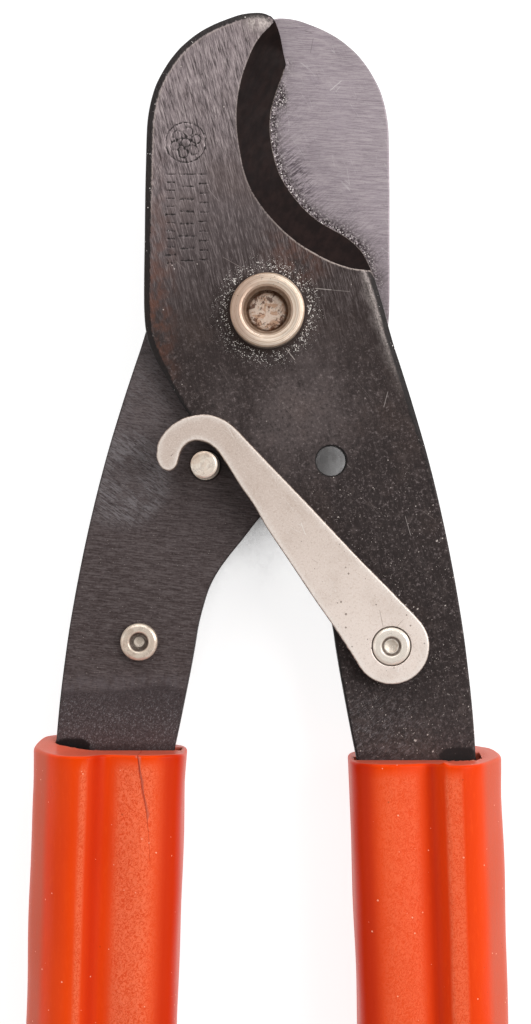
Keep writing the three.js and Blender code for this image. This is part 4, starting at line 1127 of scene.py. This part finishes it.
seat_rings = [(circle(LPIV, r, 84), True) for r in (SEAT_R - 0.02, SEAT_R, SEAT_R + 0.07, SEAT_R + 0.15, SEAT_R + 0.26)]
lv, lf, lxy, ld, lw, la, _ = plate_mesh(
    [lever_line, circle(LPIV, 2.75, 48)], lever_bottom, lever_top, grid=1.1, lines=seat_rings, rings=(0.05, 0.12, 0.22, 0.34, 0.46, 0.6), jitter=11
)
lever_rim = (1 - smoothstep(0.06, 0.26, ld)) * (lw == 0)
# painted highlight: a light band just inside the lever's rounded rim
lever_rim_highlight = np.exp(-(((ld - 0.46) / 0.16) ** 2)) * (lw == 0)
lm = np.stack([lever_rim, lever_rim_highlight, np.zeros(len(ld)), np.zeros(len(ld))], 1)
lb = np.stack([1 - smoothstep(0.0, 0.3, ld)] + [np.zeros(len(ld))] * 3, 1)
make_object("lever_plate", lv, lf, M_LEVER, "lever", ("lock_lever",), 26, {"mask": np.vstack([lm, lb])})


# ------------------------------------------------------------- turned hardware
def polar(rows, c, seg=120, z_wave=None):
    """Turned piece whose radius may also vary with the angle; rows of (r or r(angles), z)."""
    ang = np.arange(seg) / seg * 2 * math.pi
    verts, faces, idx = [], [], []
    for r, z in rows:
        if not callable(r) and r < 1e-6:
            idx.append([len(verts)])
            verts.append((c[0], c[1], z))
            continue
        rr = r(ang) if callable(r) else np.full(seg, float(r))
        zz = z + (z_wave(ang) if z_wave else 0.0) * np.ones(seg)
        idx.append(list(range(len(verts), len(verts) + seg)))
        for k in range(seg):
            verts.append((c[0] + rr[k] * math.cos(ang[k]), c[1] + rr[k] * math.sin(ang[k]), zz[k]))
    closed = len(idx[0]) > 1
    pairs = list(zip(idx[:-1], idx[1:])) + ([(idx[-1], idx[0])] if closed else [])
    for a, b in pairs:
        for k in range(seg):
            k2 = (k + 1) % seg
            if len(a) == 1:
                faces.append((a[0], b[k2], b[k]))
            elif len(b) == 1:
                faces.append((a[k], a[k2], b[0]))
            else:
                faces.append((a[k], a[k2], b[k2], b[k]))
    return np.array(verts), faces


def hex_r(af, turn, blunt=0.06):
    def f(a):
        m = np.mod(a - turn, math.pi / 3) - math.pi / 6
        r = af / 2 / np.cos(m)
        return np.minimum(r, af / math.sqrt(3) - blunt)
    return f


def least(f, r):
    return lambda a: np.minimum(f(a) if callable(f) else f, r)


def fillet(profile, radii, n=5):
    """Rounds the corners of an open (r, z) profile; radii maps index to radius."""
    out = []
    p = [np.array(q, float) for q in profile]
    for i, q in enumerate(p):
        r = radii.get(i, 0)
        if r <= 0 or i == 0 or i == len(p) - 1:
            out.append(tuple(q))
            continue
        a, b = p[i - 1] - q, p[i + 1] - q
        la, lb = np.linalg.norm(a), np.linalg.norm(b)
        a, b = a / la, b / lb
        half = math.acos(float(np.clip(a @ b, -1, 1))) / 2
        t = min(r / math.tan(half), la * 0.49, lb * 0.49)
        for k in range(n + 1):
            s = k / n
            out.append(tuple((1 - s) ** 2 * (q + a * t) + 2 * s * (1 - s) * q + s * s * (q + b * t)))
    return out


def turned(name, node, profile, c, material, body, seg=96, sharp=35, z_wave=None):
    v, f = polar(profile, c, seg, z_wave)
    return make_object(name, v, outward(v, f), material, body, (node,), sharp)


nt, nb = NUT_HI[2], NUT_LO[2]
thread = []
z = nt - 1.0
while z > BOLT_HI[2] + 0.3:
    thread += [(4.42, z - 0.5), (4.42, z - 0.66), (5.02, z - 1.1), (5.02, z - 1.22)]
    z -= 1.25
nut_profile = fillet(
    [(5.15, nb), (6.6, nb), (7.0, nb + 0.4), (7.0, Z_FACE + 0.05), (7.8, Z_FACE + 0.05), (7.8, nt - 0.35), (7.45, nt - 0.12), (6.6, nt), (5.9, nt - 0.04), (5.42, nt - 0.14), (5.15, nt - 0.5)],
    {5: 0.25, 6: 0.3, 7: 0.8, 8: 0.4, 9: 0.12},
) + thread + [(5.15, BOLT_HI[2] - 0.4), (5.15, nb + 0.3)]
turned("pivot_nut_turned", "pivot_sleeve_nut", nut_profile, (0, 0), M_NUT, "front_half", 120)

hx = hex_r(17.0, math.pi / 6, 0.1)
bz = BOLT_LO[2]
bolt_rows = [(0.0, bz + 0.25), (4.6, bz + 0.25), (5.2, bz), (least(hx, 8.1), bz)]
for k in range(1, 13):
    zz = bz + k * 0.1
    bolt_rows.append((least(hx, 8.1 + (zz - bz) / 1.1 * 1.8), zz))
bolt_rows += [(least(hx, 9.9), bz + 6.2), (least(hx, 9.5), bz + 6.35), (least(hx, 9.2), bz + 6.4), (5.1, bz + 6.4), (4.95, bz + 6.6), (4.95, BOLT_HI[2] - 1.2), (4.86, BOLT_HI[2] - 1.05), (3.95, BOLT_HI[2] - 0.14), (3.75, BOLT_HI[2] - 0.03), (3.3, BOLT_HI[2]), (1.6, BOLT_HI[2] - 0.02), (0.0, BOLT_HI[2] - 0.03)]
turned("pivot_bolt_turned", "pivot_bolt", bolt_rows, (0, 0), M_BOLT, "front_half", 144)

# the spring washer is one flat coil with a slanting gap
sw_lo, sw_hi = box_mm("pivot_spring_washer")
coil = fillet([(5.2, sw_lo[2] + 0.04), (5.2, sw_hi[2] - 0.04), (8.55, sw_hi[2] - 0.04), (8.55, sw_lo[2] + 0.04), (5.2, sw_lo[2] + 0.04), (5.2, sw_hi[2] - 0.04)], {1: 0.2, 2: 0.3, 3: 0.3, 4: 0.2})[1:-1]
cv, cf = [], []
turns = 100
ring_n = len(coil)
for i in range(turns + 1):
    for r, zc in coil:
        gap = math.radians(4.2)
        lean = (zc - (sw_lo[2] + sw_hi[2]) / 2) * 0.5 / r
        a = -math.pi / 2 + gap + lean * (1 if i == 0 else 1) + (2 * math.pi - 2 * gap) * i / turns
        cv.append((r * math.cos(a), r * math.sin(a), zc))
for i in range(turns):
    for k in range(ring_n):
        k2 = (k + 1) % ring_n
        cf.append((i * ring_n + k, i * ring_n + k2, (i + 1) * ring_n + k2, (i + 1) * ring_n + k))
cf += [tuple(range(ring_n))[::-1], tuple(turns * ring_n + k for k in range(ring_n))]
make_object("spring_washer_coil", cv, outward(cv, cf), M_SPRING, "front_half", ("pivot_spring_washer",), 35)


def socket_screw(name, node, c, top, tip, turn, material, body):
    hr = 3.95
    rows = [(0.0, tip), (2.05, tip), (2.42, tip + 0.4)]
    zz = tip + 0.6
    while zz < top - 2.9:
        rows += [(2.45, zz), (2.16, zz + 0.3), (2.16, zz + 0.42), (2.45, zz + 0.72)]
        zz += 0.8
    rows += [(2.45, top - 2.6), (2.45, top - 2.3), (3.85, top - 2.3)]
    rows += fillet([(3.85, top - 2.3), (hr, top - 2.2), (hr, top - 0.42), (3.35, top), (2.3, top), (1.95, top - 0.28), (1.55, top - 0.7)], {1: 0.05, 2: 0.3, 3: 0.35, 4: 0.12, 5: 0.1})[1:]
    rows += [(least(hex_r(2.5, turn, 0.03), 1.53), top - 0.72), (hex_r(2.5, turn, 0.03), top - 0.8), (hex_r(2.5, turn, 0.03), top - 1.5), (0.9, top - 1.58), (0.0, top - 1.72)]
    turned(name, node, rows, c, material, body, 96)


socket_screw("lever_socket_screw", "lock_lever_screw", LPIV, LSCREW_HI[2], LSCREW_LO[2], 0.2, M_LSCREW, "front_half")
socket_screw("plain_screw_turned", "plain_socket_screw", PPIV, PSCREW_HI[2], PSCREW_LO[2], math.pi / 6, M_PSCREW, "rear_half")

ww_lo, ww_hi = box_mm("lock_lever_wave_washer")
wm = (ww_lo[2] + ww_hi[2]) / 2
turned("wave_washer_ring", "lock_lever_wave_washer", [(2.8, wm - 0.22), (5.45, wm - 0.22), (5.55, wm - 0.12), (5.55, wm + 0.12), (5.45, wm + 0.22), (2.8, wm + 0.22)], LPIV, M_SPRING, "front_half", 96, z_wave=lambda a: 0.11 * np.cos(3 * a))


def hex_nut(name, node, turn, body):
    lo, hi = box_mm(node)
    c = (lo[:2] + hi[:2]) / 2
    h = hex_r(8.0, turn, 0.04)
    rows = [(2.55, lo[2] + 0.3), (2.85, lo[2])]
    rows += [(least(h, 4.1 + k * 0.13), lo[2] + k * 0.1) for k in range(6)]
    rows += [(least(h, 4.72), hi[2] - 0.35), (least(h, 4.6), hi[2] - 0.15), (least(h, 4.35), hi[2]), (2.85, hi[2]), (2.55, hi[2] - 0.3)]
    turned(name, node, rows, c, M_ZINC, body, 120)


hex_nut("lever_hex_nut", "lock_lever_nut", 0.3, "front_half")
hex_nut("plain_hex_nut", "plain_socket_screw_nut", 0.1, "rear_half")

sb, st = STUD_LO[2], STUD_HI[2]
stud_rows = fillet([(0.0, sb), (3.05, sb), (3.05, Z_REAR_TOP), (2.8, Z_REAR_TOP + 0.02), (2.8, st - 0.35), (2.45, st), (0.0, st)], {1: 0.2, 4: 0.25, 5: 0.25})
stud_rows = stud_rows[:-1] + [(1.6, st + 0.0), (0.0, st - 0.02)]
turned("catch_stud_turned", "catch_stud", stud_rows, STUD, M_STUD, "rear_half", 72)

# -------------------------------------------------------------------- the grips
GRIP_TOP_SIDE = [[16.25, 13.6], [16.1, 15.4], [15.5, 17.5], [14.5, 19.4], [13.2, 21.4], [11.9, 23.2], [10.7, 24.7], [9.6, 25.8], [8.4, 26.6], [7.1, 27.1], [6.2, 27.2], [3.9, 27.2], [3.1, 26.95], [2.2, 26.0], [1.3, 24.95], [0.3, 24.3], [-1.0, 24.35], [-2.6, 24.8], [-5.0, 25.5], [-8.2, 25.9], [-11.0, 25.5], [-13.2, 24.6], [-14.8, 23.3], [-15.8, 21.2], [-16.2, 18.6], [-16.25, 15.6]]
DEPTH = LGRIP_HI[2] - LGRIP_LO[2]
section_raw = GRIP_TOP_SIDE + [[u, DEPTH - z] for u, z in reversed(GRIP_TOP_SIDE) if z != 13.6]
section = respace(catmull(section_raw, True), 0.75, True, 0.5)
section[:, 1] = np.clip(section[:, 1], 0, DEPTH)
if area(section) < 0:
    section = section[::-1]
sec_t = np.roll(section, -1, axis=0) - np.roll(section, 1, axis=0)
sec_t /= np.linalg.norm(sec_t, axis=1, keepdims=True)
sec_n = np.stack([sec_t[:, 1], -sec_t[:, 0]], 1)


def swept(side, rows_y, inset, cap_inset=None, bumps=None):
    """Section swept along a grip; rows_y and inset list each row. Both ends are closed."""
    verts, faces = [], []
    m = len(section)
    for y, ins in zip(rows_y, inset):
        ring = section - sec_n * ins
        for i, (u, z) in enumerate(ring):
            du = bumps(y, i) if bumps else 0.0
            verts.append((side * (grip_x(y) + u + sec_n[i, 0] * du), y, z + sec_n[i, 1] * du))
    rows = len(rows_y)
    for j in range(rows - 1):
        for i in range(m):
            i2 = (i + 1) % m
            faces.append((j * m + i, j * m + i2, (j + 1) * m + i2, (j + 1) * m + i))
    for j, y in ((0, rows_y[0]), (rows - 1, rows_y[-1])):
        ring = section - sec_n * inset[j]
        lo, hi = ring.min(0), ring.max(0)
        gu, gz = np.meshgrid(np.arange(lo[0] + 1, hi[0], 2.0), np.arange(lo[1] + 1, hi[1], 2.0))
        g = np.stack([gu.ravel(), gz.ravel()], 1)
        g = g[inside(g, ring)]
        g = g[dist(g, ring, True)[0] > 0.8]
        pts = np.vstack([ring, g])
        res = delaunay_2d_cdt([Vector(map(float, p)) for p in pts], [(i, (i + 1) % m) for i in range(m)], [], 1, 1e-6)
        base = len(verts)
        ids = []
        for k, p in enumerate(res[0]):
            src = [o for o in res[3][k]]
            if src and src[0] < m:
                ids.append(j * m + src[0])
            else:
                ids.append(len(verts))
                verts.append((side * (grip_x(y) + p[0]), y, p[1]))
        for t in res[2]:
            c = np.mean([res[0][q] for q in t], axis=0)
            if inside(np.array([[c[0], c[1]]]), ring)[0]:
                faces.append(tuple(ids[q] for q in (t if j == 0 else t[::-1])))
    v = np.array(verts)
    return v, outward(v, faces)


def box_verts(x0, x1, y0, y1, z0, z1):
    v = [(x, y, z) for x in (x0, x1) for y in (y0, y1) for z in (z0, z1)]
    f = [(0, 1, 3, 2), (4, 6, 7, 5), (0, 4, 5, 1), (2, 3, 7, 6), (0, 2, 6, 4), (1, 5, 7, 3)]
    return v, f


def grip_piece(name, node, plug, plug_node, side, top, tang_z, body, ragged, crack):
    r = 0.7
    ys = [top - r * (1 - math.cos(math.radians(a))) for a in (0, 18, 36, 54, 72, 90)]
    ins = [r * (1 - math.sin(math.radians(a))) for a in (0, 18, 36, 54, 72, 90)]
    y = ys[-1]
    end = LGRIP_LO[1] if side < 0 else RGRIP_LO[1]
    while y - 2.2 > end + 0.6:
        y -= 2.2 if y > -200 else 3.4
        ys.append(y)
        ins.append(0.0)
    ys += [end + 0.25, end]
    ins += [0.0, 0.25]
    rng = np.random.default_rng(5 if side > 0 else 9)
    ph = rng.uniform(0, 6.28, 8)

    def bumps(yy, i):
        u, z = section[i]
        s = 0.10 * math.sin(yy * 0.11 + ph[0] + 0.2 * u) + 0.07 * math.sin(yy * 0.23 + ph[1] - 0.3 * u + 0.2 * z)
        return (s - 0.16) * min(1.0, max(0.0, (top - yy - 1.0) / 6.0))

    v, f = swept(side, ys, ins, bumps=bumps)
    u = side * v[:, 0] - grip_x(v[:, 1])
    zz = v[:, 2]
    crown = np.maximum(smoothstep(0.5, 2.5, np.abs(zz - DEPTH / 2) / 5), 0)
    # grain mask, also carrying a painted sheen on the lobes and a painted highlight strip along the ridge
    grain_and_sheen = smoothstep(-1.0, -3.6, u) * smoothstep(-13.4, -8.5, u) * (0.62 if side > 0 else 0.92)
    strip = 0.72 * smoothstep(2.95, 3.25, u) * smoothstep(6.9, 6.0, u) if side > 0 else 0.8 * smoothstep(3.3, 4.1, u) * smoothstep(5.5, 5.2, u)
    grain_and_sheen = np.clip(np.maximum(grain_and_sheen, strip * (zz > 20)) + 0.1, 0, 1) * smoothstep(0.4, 2.6, top - v[:, 1])
    # painted shade mask: the valley between the lobes and the outer slope
    groove = np.maximum(np.exp(-(((u - (0.3 if side > 0 else 1.7)) / (1.2 if side > 0 else 1.7)) ** 2)) * (np.abs(zz - DEPTH / 2) > 7), smoothstep(-9.8, -13.4, u) * 0.95)
    # painted reflection mask on the flanks
    flank_reflection = smoothstep(10.4, 12.6, u) if side > 0 else smoothstep(11.4, 13.2, u)
    flank_reflection = np.maximum(flank_reflection, 0.6 * smoothstep(-15.4, -16.3, u))
    rim = smoothstep(0.12, 0.0, top - v[:, 1])
    v[:, 1] += 0.55 * np.exp(-(((u - 3.0) / 0.55) ** 2)) * np.exp(-(((top - v[:, 1]) / 0.5) ** 2)) * (zz > 23.0) * (side > 0)
    # the end is trimmed a little askew: higher round the outer, rear quarter
    askew = (1.3 if side > 0 else 2.4) * smoothstep(25.0, 7.0, zz) * smoothstep(2.0, 11.0, u) * smoothstep(19.0, 14.0, u)
    askew = askew + (1.0 if side > 0 else 0.45 * smoothstep(17.0, 25.0, zz))
    v[:, 1] += askew * smoothstep(7.0, 0.0, top - v[:, 1])
    mask = np.stack([grain_and_sheen, groove, flank_reflection, rim], 1)
    ob = make_object(name, v, f, M_GRIP, body, (node,), 40, {"mask": mask})
    mid = tang_z + 4.95 / 2
    # slot for the tang's shoulders
    xs = sorted((side * (31.75 - 13.45), side * (31.75 + 13.45)))
    cut(ob, *box_verts(xs[0], xs[1], top - 12, top + 4, tang_z - 0.25, tang_z + 5.2))
    # bore for the core tube
    pts = []
    for k in range(0, 13):
        yy = top - 11 + (end - 2 - (top - 11)) * k / 12
        pts.append(yy)
    bv, bf = [], []
    for yy in pts:
        cx = side * grip_x(yy)
        bv += [(cx - 10.8, yy, mid - 4.6), (cx + 10.8, yy, mid - 4.6), (cx + 10.8, yy, mid + 4.6), (cx - 10.8, yy, mid + 4.6)]
    for k in range(12):
        for q in range(4):
            a, b = k * 4 + q, k * 4 + (q + 1) % 4
            bf.append((a, b, b + 4, a + 4))
    bf += [(3, 2, 1, 0), (48, 49, 50, 51)]
    cut(ob, bv, bf)
    # pocket in front of the outer half of the tang, with a torn lower edge
    n = 18
    up = []
    x_in, x_out = 36.6, 45.2
    for k in range(n + 1):
        t = k / n
        lift = 2.15 * math.sin(math.pi * min(1.0, max(0.0, t * 1.04 - 0.02))) ** 0.35 + ragged * (0.35 * math.sin(k * 2.1 + side) + 0.25 * math.sin(k * 4.7))
        up.append((side * (x_in + (x_out - x_in) * t), tang_z + 5.0 + max(0.25, lift)))
    poly = [(side * x_in, tang_z + 4.6)] + up + [(side * x_out, tang_z + 4.6)]
    pv = [(x, top - 8, z) for x, z in poly] + [(x, top + 4, z) for x, z in poly]
    k = len(poly)
    pf = [tuple(range(k)), tuple(range(k, 2 * k))[::-1]] + [(i, i + k, (i + 1) % k + k, (i + 1) % k) for i in range(k)]
    sgn = area(np.array(poly))
    if sgn > 0:
        pf = [q[::-1] for q in pf]
    cut(ob, pv, [q[::-1] for q in pf])
    if crack:
        line = respace(catmull(crack), 0.8)
        half = np.linspace(0.035, 0.015, len(line)) * (1 + 0.3 * np.sin(np.arange(len(line)) * 1.7))
        tt = np.gradient(line, axis=0)
        tt /= np.linalg.norm(tt, axis=1, keepdims=True)
        nn = np.stack([-tt[:, 1], tt[:, 0]], 1)
        ring = np.vstack([line + nn * half[:, None], (line - nn * half[:, None])[::-1]])
        if area(ring) < 0:
            ring = ring[::-1]
        cut(ob, *prism([tuple(p) for p in ring], DEPTH - 1.9, DEPTH + 3))
    # end plug
    lo, hi = box_mm(plug_node)
    py = [end - 0.1, end - 0.35, end - 0.6]
    pi = [0.35, 0.08, 0.0]
    rr = 2.2
    base = lo[1] + rr
    py += [base]
    pi += [0.0]
    for a in (15, 30, 45, 60, 75, 90):
        py.append(base - rr * math.sin(math.radians(a)))
        pi.append(rr * (1 - math.cos(math.radians(a))))
    v2, f2 = swept(side, py, pi)
    pm = np.stack([np.full(len(v2), 0.5), np.zeros(len(v2)), np.zeros(len(v2)), np.zeros(len(v2))], 1)
    make_object(plug, v2, f2, M_GRIP, body, (plug_node,), 40, {"mask": pm})
    return ob


CRACK = [[-26.95, -91.6], [-26.5, -94.4], [-26.1, -97.1], [-25.4, -101.3], [-24.75, -105.6]]
grip_piece("left_grip_moulding", "left_grip", "left_end_plug_moulding", "left_end_plug", -1, LGRIP_HI[1], Z_REAR, "rear_half", 0.25, CRACK)
grip_piece("right_grip_moulding", "right_grip", "right_end_plug_moulding", "right_end_plug", 1, RGRIP_HI[1], Z_FRONT, "front_half", 1.0, None)

# hidden steel keeps its CAD shape and takes a proper finish
for node in ("left_core_tube", "right_core_tube"):
    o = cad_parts[node]
    o.data.materials.clear()
    o.data.materials.append(M_TUBE)
for node in ("left_upper_tang_rivet", "left_lower_tang_rivet", "right_upper_tang_rivet", "right_lower_tang_rivet"):
    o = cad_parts[node]
    o.data.materials.clear()
    o.data.materials.append(M_ZINC)

# --------------------------------------------------------------- stage and light
floor = bpy.data.meshes.new("floor")
S = 1.6
floor.from_pydata([(-S, -S - 0.2, -0.0006), (S, -S - 0.2, -0.0006), (S, S - 0.2, -0.0006), (-S, S - 0.2, -0.0006)], [], [(0, 1, 2, 3)])
fo = bpy.data.objects.new("studio_floor", floor)
scene.collection.objects.link(fo)
fm = bpy.data.materials.new("pale_floor")
fm.use_nodes = True
fb = fm.node_tree.nodes["Principled BSDF"]
fb.inputs["Base Color"].default_value = (0.42, 0.42, 0.42, 1)
fb.inputs["Roughness"].default_value = 0.9
fb.inputs["Specular IOR Level"].default_value = 0.1
ft = fm.node_tree
ao = ft.nodes.new("ShaderNodeAmbientOcclusion")
ao.samples = 16
ao.inputs["Distance"].default_value = 0.04
fr = ft.nodes.new("ShaderNodeMapRange")
fr.interpolation_type = "SMOOTHSTEP"
fr.inputs["From Min"].default_value = 0.25
fr.inputs["From Max"].default_value = 0.35
fr.inputs["To Min"].default_value = 0.0
fr.inputs["To Max"].default_value = 0.80
ft.links.new(ao.outputs["AO"], fr.inputs["Value"])
fb.inputs["Emission Color"].default_value = (1, 1, 1, 1)
ft.links.new(fr.outputs[0], fb.inputs["Emission Strength"])
floor.materials.append(fm)

world = bpy.data.worlds.new("studio")
world.use_nodes = True
wt = world.node_tree
bg = wt.nodes["Background"]
wc = wt.nodes.new("ShaderNodeTexCoord")
ws = wt.nodes.new("ShaderNodeSeparateXYZ")
wr = wt.nodes.new("ShaderNodeMapRange")
wr.interpolation_type = "SMOOTHSTEP"
wr.inputs["From Min"].default_value = 0.35
wr.inputs["From Max"].default_value = 0.95
wr.inputs["To Min"].default_value = 0.55
wr.inputs["To Max"].default_value = 0.20
wt.links.new(wc.outputs["Generated"], ws.inputs[0])
wt.links.new(ws.outputs[2], wr.inputs["Value"])
wt.links.new(wr.outputs[0], bg.inputs[1])
bg.inputs[0].default_value = (1.0, 0.985, 0.97, 1)
scene.world = world


def panel(name, loc, target, size, power, colour=(1, 1, 1)):
    li = bpy.data.lights.new(name, "AREA")
    li.shape = "RECTANGLE"
    li.size, li.size_y = size
    li.energy = power
    li.color = colour
    ob = bpy.data.objects.new(name, li)
    ob.location = loc
    d = Vector(target) - Vector(loc)
    ob.rotation_euler = d.to_track_quat("-Z", "Y").to_euler()
    scene.collection.objects.link(ob)
    return ob


panel("key_right", (1.0, 0.30, 0.95), (0, -0.05, 0), (0.8, 1.3), 15.5)
panel("fill_left", (-1.0, -0.15, 0.9), (0, -0.05, 0), (0.7, 1.2), 2.6)
panel("top_back", (-0.15, 1.1, 0.9), (0, -0.03, 0), (1.2, 0.6), 7.0)

cam_data = bpy.data.cameras.new("camera")
cam_data.sensor_width = 36.0
cam_data.sensor_fit = "AUTO"
cam_data.lens = 1900.0 / 1024.0 * 36.0
cam_data.clip_start = 0.01
cam_data.clip_end = 20
cam = bpy.data.objects.new("camera", cam_data)
cam.location = (-0.38 * MM, -42.2 * MM, 418.6 * MM)
cam.rotation_euler = (0, 0, 0)
scene.collection.objects.link(cam)
scene.camera = cam
scene.view_settings.view_transform = "Standard"
